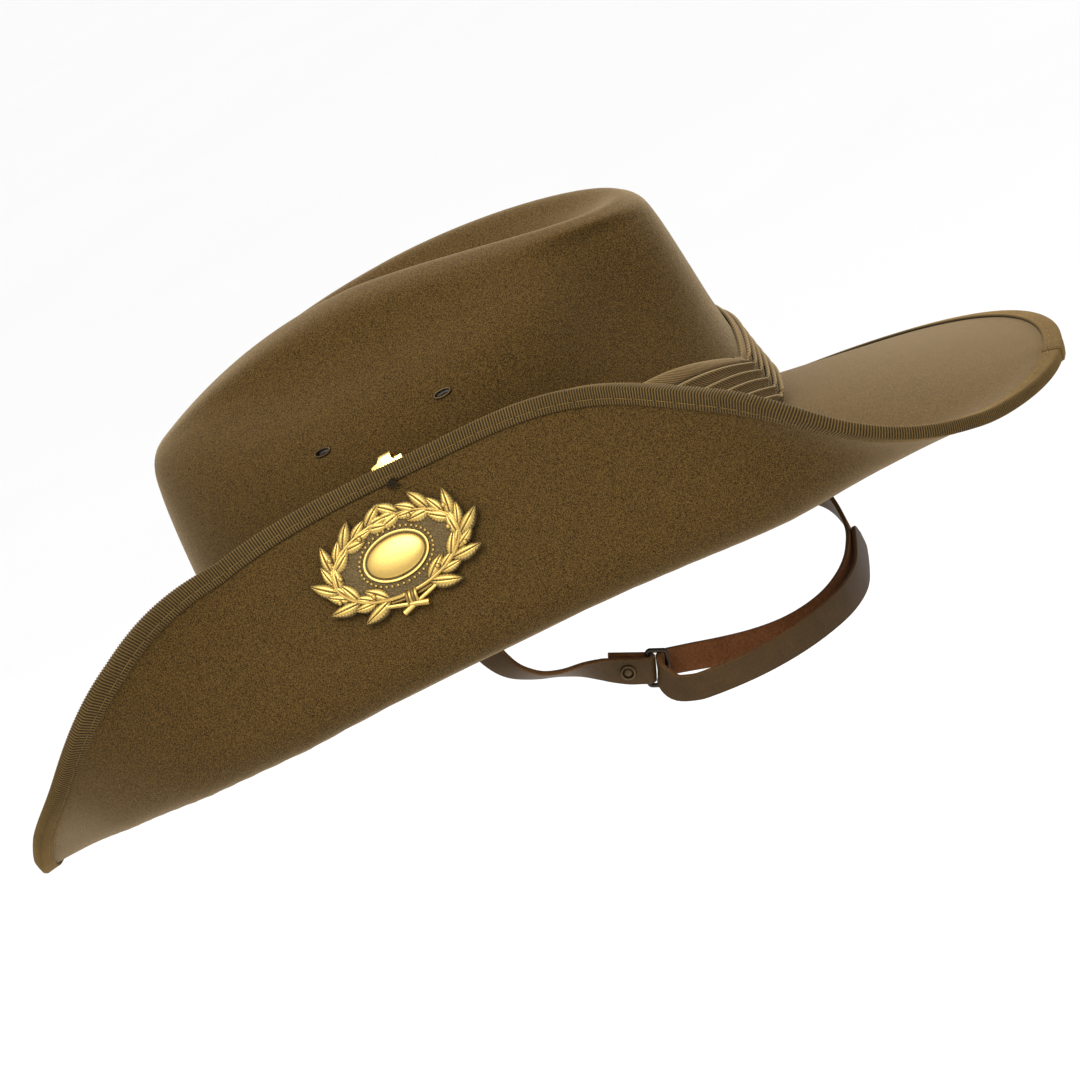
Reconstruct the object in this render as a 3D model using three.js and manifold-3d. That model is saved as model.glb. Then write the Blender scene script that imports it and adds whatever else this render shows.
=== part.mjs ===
// Felt slouch hat with one side of the brim turned up and hooked to the crown.
// Millimetres. The origin is the middle of the head opening, +Z up through the crown,
// -Y the front of the hat and +X the side whose brim is turned up.
import * as THREE from "three";
import { mergeVertices } from "three/addons/utils/BufferGeometryUtils.js";
import Module from "manifold-3d";

const wasm = await Module();
wasm.setup();

// Driving dimensions of the felt body
const HEAD_LENGTH = 202; // outside of the felt at the head opening
const HEAD_WIDTH = 164;
const FELT = 2.2; // wall of crown and brim
const CROWN_HEIGHT = 97; // brim to the top of the ridges
const BRIM = 90; // brim width along the felt
const DROOP_ENDS = 15.0; // degrees below level at front and back
const DROOP_TURNED = 25.3; // the same at the side that is turned up
const DROOP_PLAIN = 16.9; // and at the other side
const BREAK_RADIUS = 4; // where crown turns into brim
const COLUMNS = 64; // facets around the hat

// Driving dimensions of what is sewn or fixed to it
const GAP = 0.3; // clearance between neighbouring pieces
const BINDING_WIDTH = 7;
const BINDING = 0.7; // ribbon thickness
const BAND_HEIGHT = 36; // top edge of the pleated band above the brim
const BAND_NOTCH = 20; // the same at the point of the chevron
const BAND_FOOT = 4.2; // lower edge of the band
const BAND = 3.4; // thickness over the folds
const PLEATS = 7;
const PLEAT_DEPTH = 1.3;
const TOP_PLEAT = 0.2; // share of the band's height
const CHEVRON_PLACE = 7.5; // degrees from the middle of the back to the turned-up side
const CHEVRON_REACH = 43; // degrees over which the folds fall to the point
const VENT_WIDTH = 6.4; // oval eyelet, outside
const VENT_HEIGHT = 3.0;
const VENT_RIM = 0.6;
const VENT_METAL = 0.5;
const VENT_PLACES = [-23, 20]; // along the hat
const VENT_LEVEL = 64;
const BADGE_WIDTH = 60;
const BADGE_HEIGHT = 37;
const BADGE_PLATE = 1.1;
const BADGE_PLACE = -10; // along the hat
const BADGE_LEVEL = 30;
const LEAF_PAIRS = 6; // on each branch of the wreath
const HOOK_PLACE = -3; // along the hat
const HOOK_WIDTH = 10.5;
const HOOK_TONGUE = 4;
const HOOK_METAL = 0.9;
const CATCH_WIRE = 0.9;
const CATCH_BASE = 0.7;
const CATCH_STAND = 4.1; // from the crown to the middle of the catch's bar
const STRAP_WIDTH = 9;
const STRAP = 1.5; // leather thickness
const STRAP_DROP = 56; // lowest point of the strap's middle line below the brim
const BUCKLE_WIRE = 1.5;
const BUCKLE_PITCH = 6.1; // between the middles of the two bars
const BUCKLE_LENGTH = 12.2; // between the middles of the end bars
const STUD_RADIUS = 2.6;

// The crown as closed sections from the brim to the middle of the dished top.
// Heights are shares of CROWN_HEIGHT, widths of half HEAD_WIDTH, front and back of half HEAD_LENGTH.
// mid is the height at the sides and ends the height at front and back; flare widens the back.
const CROWN_SECTIONS = [
  { mid: 0.04, ends: 0.04, width: 1.0, front: 0.975, back: 0.995, flare: 0.0 },
  { mid: 0.2, ends: 0.2, width: 0.975, front: 0.952, back: 0.965, flare: 0.0 },
  { mid: 0.38, ends: 0.37, width: 0.94, front: 0.941, back: 0.945, flare: 0.0 },
  { mid: 0.56, ends: 0.53, width: 0.87, front: 0.93, back: 0.937, flare: 0.02 },
  { mid: 0.72, ends: 0.66, width: 0.77, front: 0.917, back: 0.93, flare: 0.07 },
  { mid: 0.84, ends: 0.745, width: 0.655, front: 0.902, back: 0.922, flare: 0.16 },
  { mid: 0.93, ends: 0.8, width: 0.53, front: 0.87, back: 0.91, flare: 0.32 },
  { mid: 0.985, ends: 0.835, width: 0.41, front: 0.815, back: 0.88, flare: 0.55 },
  { mid: 1.0, ends: 0.86, width: 0.3, front: 0.735, back: 0.83, flare: 0.8 },
  { mid: 0.945, ends: 0.84, width: 0.205, front: 0.61, back: 0.71, flare: 0.95 },
  { mid: 0.86, ends: 0.81, width: 0.11, front: 0.38, back: 0.47, flare: 0.95 },
  { mid: 0.82, ends: 0.82, width: 0.0, front: 0.0, back: 0.0, flare: 0.95 },
];
const RIDGE_STEP = 6; // the ridge on the turned-up side stands this much above the other
const ARCH_FRONT = 2.1; // how late the sections fall towards the front
const ARCH_BACK = 1.6; // and towards the back

// Soft dents in both sides of the crown: places as shares of half HEAD_LENGTH and of CROWN_HEIGHT.
const DENTS = [
  { name: "valley under the ridge", along: -0.18, level: 0.84, reach: 0.62, tall: 0.1, depth: 0.05 },
  { name: "pinch at the back", along: 0.78, level: 0.62, reach: 0.17, tall: 0.3, depth: 0.075 },
  { name: "swell before the pinch", along: 0.42, level: 0.72, reach: 0.2, tall: 0.22, depth: -0.02 },
];

// Where the turned-up side of the brim starts to roll, from front to back.
// along is a share of half the brim's length, fold of half HEAD_WIDTH, turn in degrees and
// roll, the felt that the roll takes up, a share of BRIM.
const BRIM_FOLDS = [
  { along: -1, fold: 0.11, turn: 14, roll: 0.3 },
  { along: -0.88, fold: 0.32, turn: 33, roll: 0.3 },
  { along: -0.74, fold: 0.59, turn: 54, roll: 0.3 },
  { along: -0.56, fold: 0.86, turn: 91, roll: 0.3 },
  { along: -0.34, fold: 1.05, turn: 131, roll: 0.3 },
  { along: 0, fold: 1.13, turn: 142, roll: 0.3 },
  { along: 0.32, fold: 1.06, turn: 131, roll: 0.33 },
  { along: 0.54, fold: 0.93, turn: 102, roll: 0.42 },
  { along: 0.72, fold: 0.64, turn: 51, roll: 0.5 },
  { along: 0.88, fold: 0.32, turn: 23, roll: 0.55 },
  { along: 1, fold: -0.10, turn: 7, roll: 0.6 },
];

// Middle lines of the chin strap. along is a share of half HEAD_LENGTH, out of half HEAD_WIDTH and
// rise of STRAP_DROP. swing and lean, in degrees, aim its width: swing 90 is straight out of the side,
// and with no swing lean 0 is along the hat and lean 90 upright.
const SHORT_STRAP = [
  { along: -0.079, out: 0.92, rise: 0.42, swing: 0, lean: 0 },
  { along: -0.079, out: 0.92, rise: 0.1, swing: 2, lean: 0 },
  { along: -0.066, out: 0.915, rise: -0.17, swing: 8, lean: 4 },
  { along: -0.03, out: 0.91, rise: -0.37, swing: 30, lean: 14 },
  { along: 0.035, out: 0.9, rise: -0.485, swing: 58, lean: 34 },
  { along: 0.105, out: 0.888, rise: -0.545, swing: 66, lean: 50 },
  { along: 0.175, out: 0.885, rise: -0.59, swing: 48, lean: 60 },
  { along: 0.235, out: 0.892, rise: -0.64, swing: 24, lean: 66 },
];
const LONG_STRAP_RUNNING = [
  { along: -0.079, out: -0.92, rise: 0.42, swing: 0, lean: 0 },
  { along: -0.079, out: -0.92, rise: 0.1, swing: 0, lean: 0 },
  { along: -0.03, out: -0.92, rise: -0.12, swing: 0, lean: 14 },
  { along: 0.12, out: -0.89, rise: -0.34, swing: 0, lean: 42 },
  { along: 0.36, out: -0.83, rise: -0.5, swing: 0, lean: 66 },
  { along: 0.6, out: -0.71, rise: -0.6, swing: 0, lean: 78 },
  { along: 0.8, out: -0.53, rise: -0.66, swing: 0, lean: 84 },
  { along: 0.928, out: -0.3, rise: -0.74, swing: 0, lean: 88 },
  { along: 0.983, out: -0.02, rise: -0.88, swing: 0, lean: 90 },
  { along: 0.985, out: 0.2, rise: -0.935, swing: 0, lean: 91 },
  { along: 0.962, out: 0.38, rise: -0.965, swing: 0, lean: 92 },
  { along: 0.912, out: 0.535, rise: -0.965, swing: 0, lean: 93 },
  { along: 0.842, out: 0.64, rise: -0.95, swing: 0, lean: 93 },
  { along: 0.757, out: 0.715, rise: -0.922, swing: 0, lean: 91 },
  { along: 0.66, out: 0.765, rise: -0.882, swing: -3, lean: 86 },
  { along: 0.56, out: 0.795, rise: -0.845, swing: -4, lean: 80 },
  { along: 0.485, out: 0.815, rise: -0.81, swing: -4, lean: 75 },
];
const LONG_STRAP_TAIL = [
  { along: 0.475, out: 0.94, rise: -0.93, swing: 8, lean: 72 },
  { along: 0.57, out: 0.935, rise: -0.955, swing: 8, lean: 78 },
  { along: 0.68, out: 0.895, rise: -0.98, swing: 6, lean: 84 },
  { along: 0.79, out: 0.815, rise: -0.995, swing: 3, lean: 88 },
  { along: 0.885, out: 0.71, rise: -1.0, swing: 0, lean: 90 },
  { along: 0.957, out: 0.575, rise: -1.0, swing: 0, lean: 90 },
  { along: 0.999, out: 0.385, rise: -0.99, swing: 0, lean: 90 },
  { along: 1.008, out: 0.19, rise: -0.95, swing: 0, lean: 90 },
  { along: 1.006, out: 0.0, rise: -0.9, swing: 0, lean: 90 },
];

const halfLength = HEAD_LENGTH / 2;
const halfWidth = HEAD_WIDTH / 2;
const radians = THREE.MathUtils.degToRad;
const mix = THREE.MathUtils.lerp;
const clamp = THREE.MathUtils.clamp;
const vec = (x, y, z) => new THREE.Vector3(x, y, z);

// Catmull-Rom between four neighbouring values
function spline(a, b, c, d, t) {
  const slopeIn = (c - a) / 2;
  const slopeOut = (d - b) / 2;
  const cube = 2 * b - 2 * c + slopeIn + slopeOut;
  const square = -3 * b + 3 * c - 2 * slopeIn - slopeOut;
  return ((cube * t + square) * t + slopeIn) * t + b;
}

// A column of a table at place, where rows are one unit apart
function column(table, key, place) {
  const last = table.length - 1;
  const row = clamp(Math.floor(place), 0, last - 1);
  const at = (i) => table[clamp(i, 0, last)][key];
  return spline(at(row - 1), at(row), at(row + 1), at(row + 2), clamp(place - row, 0, 1));
}

// The place in a table whose rows are ordered by along
function placeAlong(table, along) {
  const last = table.length - 1;
  if (along <= table[0].along) return 0;
  const row = table.findIndex((r) => r.along > along) - 1;
  if (row < 0) return last;
  return row + (along - table[row].along) / (table[row + 1].along - table[row].along);
}

// Crown surface: angle 0 is the turned-up side, a quarter turn the back, section a place in the table
function crownPoint(angle, section) {
  const c = Math.cos(angle);
  const s = Math.sin(angle);
  const get = (key) => column(CROWN_SECTIONS, key, section);
  const reach = s < 0 ? get("front") : get("back");
  const arch = Math.pow(Math.abs(s), s < 0 ? ARCH_FRONT : ARCH_BACK);
  const x = halfWidth * get("width") * c * (1 + get("flare") * s);
  const y = halfLength * reach * s;
  const level = mix(get("mid"), get("ends"), arch);
  const step = Math.sin((clamp(x / (halfWidth * 0.4), -1, 1) * Math.PI) / 2);
  const rise = THREE.MathUtils.smoothstep(level, 0.4, 0.95);
  const point = vec(x, y, CROWN_HEIGHT * level + (RIDGE_STEP / 2) * step * rise * (1 - clamp(s, 0, 1)));
  const inward = vec(-Math.sign(c) * Math.pow(Math.abs(c), 0.4), 0, 0);
  for (const dent of DENTS) {
    const dy = (y / halfLength - dent.along) / dent.reach;
    const dz = (level - dent.level) / dent.tall;
    const outer = THREE.MathUtils.smoothstep(get("width"), 0.4, 0.6);
    point.addScaledVector(inward, dent.depth * HEAD_WIDTH * outer * Math.exp(-dy * dy - dz * dz));
  }
  return point;
}

// The line where crown and brim planes would meet, and the level direction out of it
function openingPoint(angle) {
  const first = CROWN_SECTIONS[0];
  const reach = Math.sin(angle) < 0 ? first.front : first.back;
  return vec(halfWidth * first.width * Math.cos(angle), halfLength * reach * Math.sin(angle), 0);
}

function openingNormal(angle) {
  const first = CROWN_SECTIONS[0];
  const reach = Math.sin(angle) < 0 ? first.front : first.back;
  const x = Math.cos(angle) * halfLength * reach;
  const y = Math.sin(angle) * halfWidth * first.width;
  return vec(x, y, 0).normalize();
}

function brimDroop(angle) {
  const side = Math.cos(angle) > 0 ? DROOP_TURNED : DROOP_PLAIN;
  return radians(mix(DROOP_ENDS, side, Math.cos(angle) ** 2));
}
const brimHalf = halfLength + BRIM * Math.cos(radians(DROOP_ENDS));

// Rolls up what lies beyond the fold line. Every point keeps its place along the hat.
function rollUp(point, slope) {
  const place = placeAlong(BRIM_FOLDS, point.y / brimHalf);
  const fold = column(BRIM_FOLDS, "fold", place) * halfWidth;
  const turn = radians(column(BRIM_FOLDS, "turn", place));
  const roll = column(BRIM_FOLDS, "roll", place) * BRIM;
  const beyond = point.x - fold;
  if (beyond <= 0) return point;
  const droop = slope * clamp(point.x / halfWidth, 0, 1);
  const travel = beyond / Math.cos(droop);
  const steps = 24;
  let x = fold;
  let z = point.z + beyond * Math.tan(droop);
  for (let i = 0; i < steps; i++) {
    const t = ((i + 0.5) / steps) * travel;
    const angle = -droop + turn * THREE.MathUtils.smoothstep(t / roll, 0, 1);
    x += (Math.cos(angle) * travel) / steps;
    z += (Math.sin(angle) * travel) / steps;
  }
  return vec(x, point.y, z);
}

// Upper face of the brim, out along the felt by reach millimetres
function brimPoint(angle, reach) {
  const droop = brimDroop(angle);
  const point = openingPoint(angle).addScaledVector(openingNormal(angle), reach * Math.cos(droop));
  point.z = -reach * Math.sin(droop);
  return rollUp(point, droop);
}

// A place on the outside of the crown at a height above the brim
function crownAt(angle, level) {
  let low = 0;
  let high = 8;
  for (let i = 0; i < 30; i++) {
    const middle = (low + high) / 2;
    if (crownPoint(angle, middle).z < level) low = middle;
    else high = middle;
  }
  return crownPoint(angle, low);
}

// A surface point moved out of the surface, where surface is a function of two numbers
function offset(surface, a, b, out, stepA = 1e-3, stepB = 1e-3) {
  const alongA = surface(a + stepA, b).sub(surface(a - stepA, b));
  const alongB = surface(a, b + stepB).sub(surface(a, b - stepB));
  const normal = alongA.cross(alongB).normalize();
  return { point: surface(a, b).addScaledVector(normal, out), normal };
}

// Skins of the felt: out 0 is its outer or upper face and out -FELT its inner or lower face
const onCrown = (angle, section, out) => offset(crownPoint, angle, section, out).point;
const onBrim = (angle, reach, out) => offset(brimPoint, angle, reach, -out).point;
const onWall = (angle, level, out) => offset(crownAt, angle, level, out, 1e-3, 0.1).point;

// The two numbers of a surface at which it has a place along the hat and a height
function seek(surface, start, along, level) {
  let [a, b] = start;
  for (let i = 0; i < 30; i++) {
    const here = surface(a, b);
    const da = surface(a + 1e-3, b).sub(here).multiplyScalar(1e3);
    const db = surface(a, b + 1e-3).sub(here).multiplyScalar(1e3);
    const area = da.y * db.z - da.z * db.y;
    const dy = along - here.y;
    const dz = level - here.z;
    a += (dy * db.z - dz * db.y) / area;
    b += (dz * da.y - dy * da.z) / area;
  }
  return [a, b];
}

// One closed mesh from rings of equal length, each face cut along its shorter diagonal. A ring of
// one point closes an end.
function loft(rings, closed = false) {
  const positions = [];
  const index = [];
  const starts = [];
  for (const ring of rings) {
    starts.push(positions.length / 3);
    for (const p of ring) positions.push(p.x, p.y, p.z);
  }
  const count = Math.max(...rings.map((r) => r.length));
  const at = (ring, i) => starts[ring] + (rings[ring].length === 1 ? 0 : i % count);
  const span = (p, q) =>
    Math.hypot(...[0, 1, 2].map((k) => positions[p * 3 + k] - positions[q * 3 + k]));
  const pairs = closed ? rings.length : rings.length - 1;
  for (let r = 0; r < pairs; r++) {
    const next = (r + 1) % rings.length;
    for (let i = 0; i < count; i++) {
      const [a, b, c, d] = [at(r, i), at(r, i + 1), at(next, i), at(next, i + 1)];
      if (rings[r].length === 1) index.push(a, c, d);
      else if (rings[next].length === 1) index.push(a, c, b);
      else if (span(a, d) < span(b, c)) index.push(a, c, d, a, d, b);
      else index.push(a, c, b, b, c, d);
    }
  }
  const geometry = new THREE.BufferGeometry();
  geometry.setAttribute("position", new THREE.Float32BufferAttribute(positions, 3));
  geometry.setIndex(index);
  return geometry;
}

// three.js geometry to a manifold solid, its faces turned outwards
function solid(geometry) {
  const bare = geometry.clone();
  bare.deleteAttribute("normal");
  bare.deleteAttribute("uv");
  const merged = mergeVertices(bare, 1e-4);
  const order = Uint32Array.from(merged.index.array);
  const make = (triVerts) =>
    new wasm.Manifold(
      new wasm.Mesh({
        numProp: 3,
        vertProperties: new Float32Array(merged.attributes.position.array),
        triVerts,
      }),
    );
  const made = make(order);
  return made.volume() > 0 ? made : make(order.reverse());
}

function geometryOf(manifold) {
  const mesh = manifold.getMesh();
  const geometry = new THREE.BufferGeometry();
  geometry.setAttribute("position", new THREE.BufferAttribute(mesh.vertProperties, 3));
  geometry.setIndex(new THREE.BufferAttribute(mesh.triVerts, 1));
  geometry.computeVertexNormals();
  return geometry;
}

const ringOf = (count) => Array.from({ length: count }, (_, i) => (i / count) * 2 * Math.PI);

// A frame on a surface: x to the right as seen from outside, y up the surface and z out of it
function frameAt(origin, out, up) {
  const z = out.clone().normalize();
  const x = new THREE.Vector3().crossVectors(up, z).normalize();
  const y = new THREE.Vector3().crossVectors(z, x);
  return new THREE.Matrix4().makeBasis(x, y, z).setPosition(origin);
}

// Materials
const felt = new THREE.MeshStandardMaterial({ color: 0x5b4828, roughness: 0.95, metalness: 0 });
const ribbon = new THREE.MeshStandardMaterial({ color: 0x4a3a20, roughness: 0.8, metalness: 0 });
const cotton = new THREE.MeshStandardMaterial({ color: 0x75623f, roughness: 0.85, metalness: 0 });
const brass = new THREE.MeshStandardMaterial({ color: 0xcaa24a, roughness: 0.35, metalness: 1 });
const bronze = new THREE.MeshStandardMaterial({ color: 0x4d3c20, roughness: 0.5, metalness: 0.8 });
const leather = new THREE.MeshStandardMaterial({ color: 0x5a4a33, roughness: 0.5, metalness: 0 });
const blackMetal = new THREE.MeshStandardMaterial({ color: 0x1d1812, roughness: 0.45, metalness: 0.7 });

const hat = new THREE.Group();
function piece(name, geometry, material) {
  const mesh = new THREE.Mesh(geometry, material);
  mesh.name = name;
  hat.add(mesh);
  return mesh;
}

// Oval of a vent: a ring of points of one half width and half height, out along the frame's z
function ovalRing(frame, halfWide, halfTall, z, count) {
  return ringOf(count).map((t) =>
    vec(halfWide * Math.cos(t), halfTall * Math.sin(t), z).applyMatrix4(frame),
  );
}

// Vent eyelets, two on each side of the crown
const VENT_SIDES = 12;
const vents = [];
for (const side of [1, -1]) {
  for (const [i, along] of VENT_PLACES.entries()) {
    const start = side > 0 ? [Math.asin(along / halfLength), 4] : [Math.PI - Math.asin(along / halfLength), 4];
    const [angle, section] = seek(crownPoint, start, along, VENT_LEVEL);
    const { point, normal } = offset(crownPoint, angle, section, 0);
    const name = `vent_eyelet_${side > 0 ? "turned" : "plain"}_${i === 0 ? "front" : "back"}`;
    vents.push({ name, frame: frameAt(point, normal, vec(0, 0, 1)) });
  }
}

function ventCutter(frame) {
  const wide = VENT_WIDTH / 2 - VENT_RIM + GAP;
  const tall = VENT_HEIGHT / 2 - VENT_RIM + GAP;
  return solid(
    loft([
      [vec(0, 0, -FELT * 2).applyMatrix4(frame)],
      ovalRing(frame, wide, tall, -FELT * 2, VENT_SIDES),
      ovalRing(frame, wide, tall, FELT, VENT_SIDES),
      [vec(0, 0, FELT).applyMatrix4(frame)],
    ]),
  );
}

function ventEyelet(frame) {
  const outerWide = VENT_WIDTH / 2;
  const outerTall = VENT_HEIGHT / 2;
  const seat = GAP + 0.1;
  const ring = (inset, z) => ovalRing(frame, outerWide - inset, outerTall - inset, z, VENT_SIDES);
  return loft(
    [
      ring(0, seat),
      ring(0.3, seat + VENT_METAL),
      ring(VENT_RIM * 0.75, seat + VENT_METAL * 1.2),
      ring(VENT_RIM + VENT_METAL * 0.6, seat),
      ring(VENT_RIM + VENT_METAL * 0.6, -FELT),
      ring(VENT_RIM, -FELT),
      ring(VENT_RIM, seat),
    ],
    true,
  );
}

// Felt body: crown and brim pressed from one hood, as rings from the top of the crown to the edge
const CROWN_RINGS = [10.2, 9.2, 8.4, 7.6, 6.8, 5.9, 4.9, 3.8, 2.6, 1.3, 0];
const BRIM_RINGS = [0.045, 0.13, 0.21, 0.285, 0.36, 0.45, 0.56, 0.7, 0.922, 1];

function feltBody() {
  const face = (out) => {
    const rings = CROWN_RINGS.map((section) => ringOf(COLUMNS).map((t) => onCrown(t, section, out)));
    const bend = ringOf(COLUMNS).map((t) => {
      const corner = openingPoint(t);
      const above = onCrown(t, 0, out);
      const beside = onBrim(t, BREAK_RADIUS, out);
      return above.add(beside).multiplyScalar(0.5).lerp(corner.addScaledVector(vec(0, 0, 1), out * 0.6), 0.42);
    });
    rings.push(bend);
    for (const share of BRIM_RINGS) {
      const reach = Math.max(share * BRIM, BREAK_RADIUS);
      rings.push(ringOf(COLUMNS).map((t) => onBrim(t, reach, out)));
    }
    return rings;
  };
  const top = crownPoint(0, CROWN_SECTIONS.length - 1);
  const under = vec(top.x, top.y, top.z - FELT);
  let body = solid(loft([[top], ...face(0), ...face(-FELT).reverse(), [under]]));
  for (const vent of vents) body = body.subtract(ventCutter(vent.frame));
  return body;
}
piece("felt_body", geometryOf(feltBody()), felt);

for (const vent of vents) piece(vent.name, geometryOf(solid(ventEyelet(vent.frame))), bronze);

// Ribbon binding folded over the brim's edge
function binding() {
  const open = BRIM - BINDING_WIDTH;
  const inside = BRIM + GAP;
  const outside = inside + BINDING;
  const profile = [
    [open, GAP],
    [inside, GAP],
    [inside, -FELT - GAP],
    [open, -FELT - GAP],
    [open, -FELT - GAP - BINDING],
    [outside - 0.35, -FELT - GAP - BINDING],
    [outside, -FELT / 2],
    [outside - 0.35, GAP + BINDING],
    [open, GAP + BINDING],
  ];
  return loft(
    profile.map(([reach, out]) => ringOf(COLUMNS).map((t) => onBrim(t, reach, out))),
    true,
  );
}
piece("brim_binding", geometryOf(solid(binding())), ribbon);

// Pleated band: its folds run level and fall to a chevron at the back
const BAND_COLUMNS = (COLUMNS * 3) / 4;
function bandTop(angle) {
  const point = radians(90 - CHEVRON_PLACE);
  const away = Math.abs(Math.atan2(Math.sin(angle - point), Math.cos(angle - point)));
  const share = clamp(away / radians(CHEVRON_REACH), 0, 1);
  return mix(BAND_NOTCH, BAND_HEIGHT, 1 - (1 - share) ** 1.8);
}

function band() {
  const pitch = (1 - TOP_PLEAT) / (PLEATS - 1);
  const inner = GAP + 0.2;
  const profile = [
    [1, inner],
    [0.5, inner],
    [0, inner],
  ];
  for (let i = 0; i < PLEATS; i++) {
    const low = i * pitch;
    const high = i === PLEATS - 1 ? 1 : low + pitch;
    profile.push([mix(low, high, 0.1), BAND - PLEAT_DEPTH], [mix(low, high, 0.9), BAND]);
  }
  return loft(
    profile.map(([share, out]) =>
      ringOf(BAND_COLUMNS).map((t) => onWall(t, mix(BAND_FOOT, bandTop(t), share), out)),
    ),
    true,
  );
}
piece("puggaree_band", geometryOf(solid(band())), cotton);

// Hook: a flat brass plate under the binding's inner face, with a tongue bent over to the crown
const hookSeat = seek(brimPoint, [HOOK_PLACE / halfLength, BRIM], HOOK_PLACE, brimPoint(HOOK_PLACE / (halfLength * 1.7), BRIM).z);
const hookEdge = onBrim(hookSeat[0], BRIM, 0);
const hookUp = onBrim(hookSeat[0], BRIM, 0).sub(onBrim(hookSeat[0], BRIM - 1, 0)).normalize();
const hookOut = offset(brimPoint, hookSeat[0], BRIM, 0).normal.negate();
const hookFrame = frameAt(hookEdge, hookOut, hookUp);
const plateBack = GAP * 2 + BINDING + 0.2;

function extrudeIn(frame, points, thickness, z) {
  const shape = new THREE.Shape(points.map(([x, y]) => new THREE.Vector2(x, y)));
  const geometry = new THREE.ExtrudeGeometry(shape, { depth: thickness, bevelEnabled: false });
  return geometry.translate(0, 0, z).applyMatrix4(frame);
}

// A strip of one thickness bent along a line in the frame's y-z plane, centred on x
function bentStrip(frame, line, wide, thickness) {
  const rings = line.map(([y, z], i) => {
    const before = line[Math.max(i - 1, 0)];
    const after = line[Math.min(i + 1, line.length - 1)];
    const run = new THREE.Vector2(after[0] - before[0], after[1] - before[1]).normalize();
    const corner = (x, side) =>
      vec(x, y - run.y * side * (thickness / 2), z + run.x * side * (thickness / 2)).applyMatrix4(frame);
    return [corner(-wide / 2, -1), corner(wide / 2, -1), corner(wide / 2, 1), corner(-wide / 2, 1)];
  });
  return loft([[centreOf(rings[0])], ...rings, [centreOf(rings.at(-1))]]);
}

function centreOf(ring) {
  const sum = ring.reduce((total, p) => total.add(p), vec(0, 0, 0));
  return sum.divideScalar(ring.length);
}

const crownGapAtHook = (() => {
  const [angle, section] = seek(crownPoint, [HOOK_PLACE / halfLength, 4], hookEdge.y, hookEdge.z + 3.5);
  const seat = offset(crownPoint, angle, section, 0);
  // how deep the facet between two rings lies under the curve of the crown
  const upper = CROWN_RINGS.findLast((ring) => ring > section);
  const lower = CROWN_RINGS.find((ring) => ring <= section);
  const share = (section - lower) / (upper - lower);
  const facet = crownPoint(angle, lower).lerp(crownPoint(angle, upper), share);
  return { ...seat, depth: seat.point.clone().sub(facet).dot(seat.normal) };
})();
const catchFrame = frameAt(crownGapAtHook.point, crownGapAtHook.normal, vec(0, 0, 1));
const hookLocal = hookFrame.clone().invert();

// The bar of the catch in the catch's frame, and the bend of the hook round it: heights above
// the bar and depths behind it
const catchBar = (() => {
  const crown = crownGapAtHook.point.clone().applyMatrix4(hookLocal);
  const bar = vec(0, HOOK_TONGUE - 0.1, crown.z).applyMatrix4(hookFrame).applyMatrix4(catchFrame.clone().invert());
  return vec(0, bar.y, CATCH_STAND);
})();
const bendReach = (CATCH_WIRE + HOOK_METAL) / 2 + GAP * 2;
const hookBend = [
  [bendReach, -bendReach * 0.75],
  [bendReach, bendReach * 0.3],
  [bendReach * 0.4, bendReach * 0.93],
  [-bendReach * 0.7, bendReach],
];

function brimHook() {
  const half = HOOK_WIDTH / 2;
  const tongue = HOOK_TONGUE / 2;
  const plate = solid(
    extrudeIn(
      hookFrame,
      [
        [-half, 2.9],
        [-half, -4.5],
        [half, -4.5],
        [half, 2.9],
        [tongue + 0.9, 3.5],
        [tongue, 4.6],
        [-tongue, 4.6],
        [-tongue, 3.0],
        [-tongue - 0.6, 2.5],
      ],
      HOOK_METAL,
      plateBack,
    ),
  );
  const middle = plateBack + HOOK_METAL / 2;
  const bend = hookBend.map(([y, z]) => {
    const point = vec(0, catchBar.y + y, catchBar.z - z).applyMatrix4(catchFrame).applyMatrix4(hookLocal);
    return [point.y, point.z];
  });
  const line = [
    [3.4, middle],
    [4.6, middle + 0.2],
    [5.3, middle + 1.1],
    [mix(5.3, bend[0][0], 0.5), mix(middle + 1.1, bend[0][1], 0.5)],
    ...bend,
  ];
  return plate.add(solid(bentStrip(hookFrame, line, HOOK_TONGUE, HOOK_METAL)));
}
piece("brim_hook", geometryOf(brimHook()), brass);

// Catch on the crown: a staple whose bar lies inside the hook's bend
function crownCatch() {
  const bar = catchBar;
  const wire = CATCH_WIRE;
  const half = HOOK_TONGUE / 2 + 1.3;
  const foot = GAP * 1.5 - crownGapAtHook.depth;
  const base = solid(
    extrudeIn(
      catchFrame,
      [
        [-half - 1, bar.y - 2.6],
        [half + 1, bar.y - 2.6],
        [half + 1, bar.y - 0.2],
        [-half - 1, bar.y - 0.2],
      ],
      CATCH_BASE,
      foot,
    ),
  );
  const arm = (x) =>
    solid(
      extrudeIn(
        catchFrame,
        [
          [x - wire / 2, bar.y - 1.6],
          [x + wire / 2, bar.y - 1.6],
          [x + wire / 2, bar.y + wire / 2],
          [x - wire / 2, bar.y + wire / 2],
        ],
        bar.z + wire / 2 - foot,
        foot,
      ),
    );
  const top = solid(
    extrudeIn(
      catchFrame,
      [
        [-half - wire / 2, bar.y - wire / 2],
        [half + wire / 2, bar.y - wire / 2],
        [half + wire / 2, bar.y + wire / 2],
        [-half - wire / 2, bar.y + wire / 2],
      ],
      wire,
      bar.z - wire / 2,
    ),
  );
  return base.add(arm(-half)).add(arm(half)).add(top);
}
piece("crown_catch", geometryOf(crownCatch()), brass);

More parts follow.
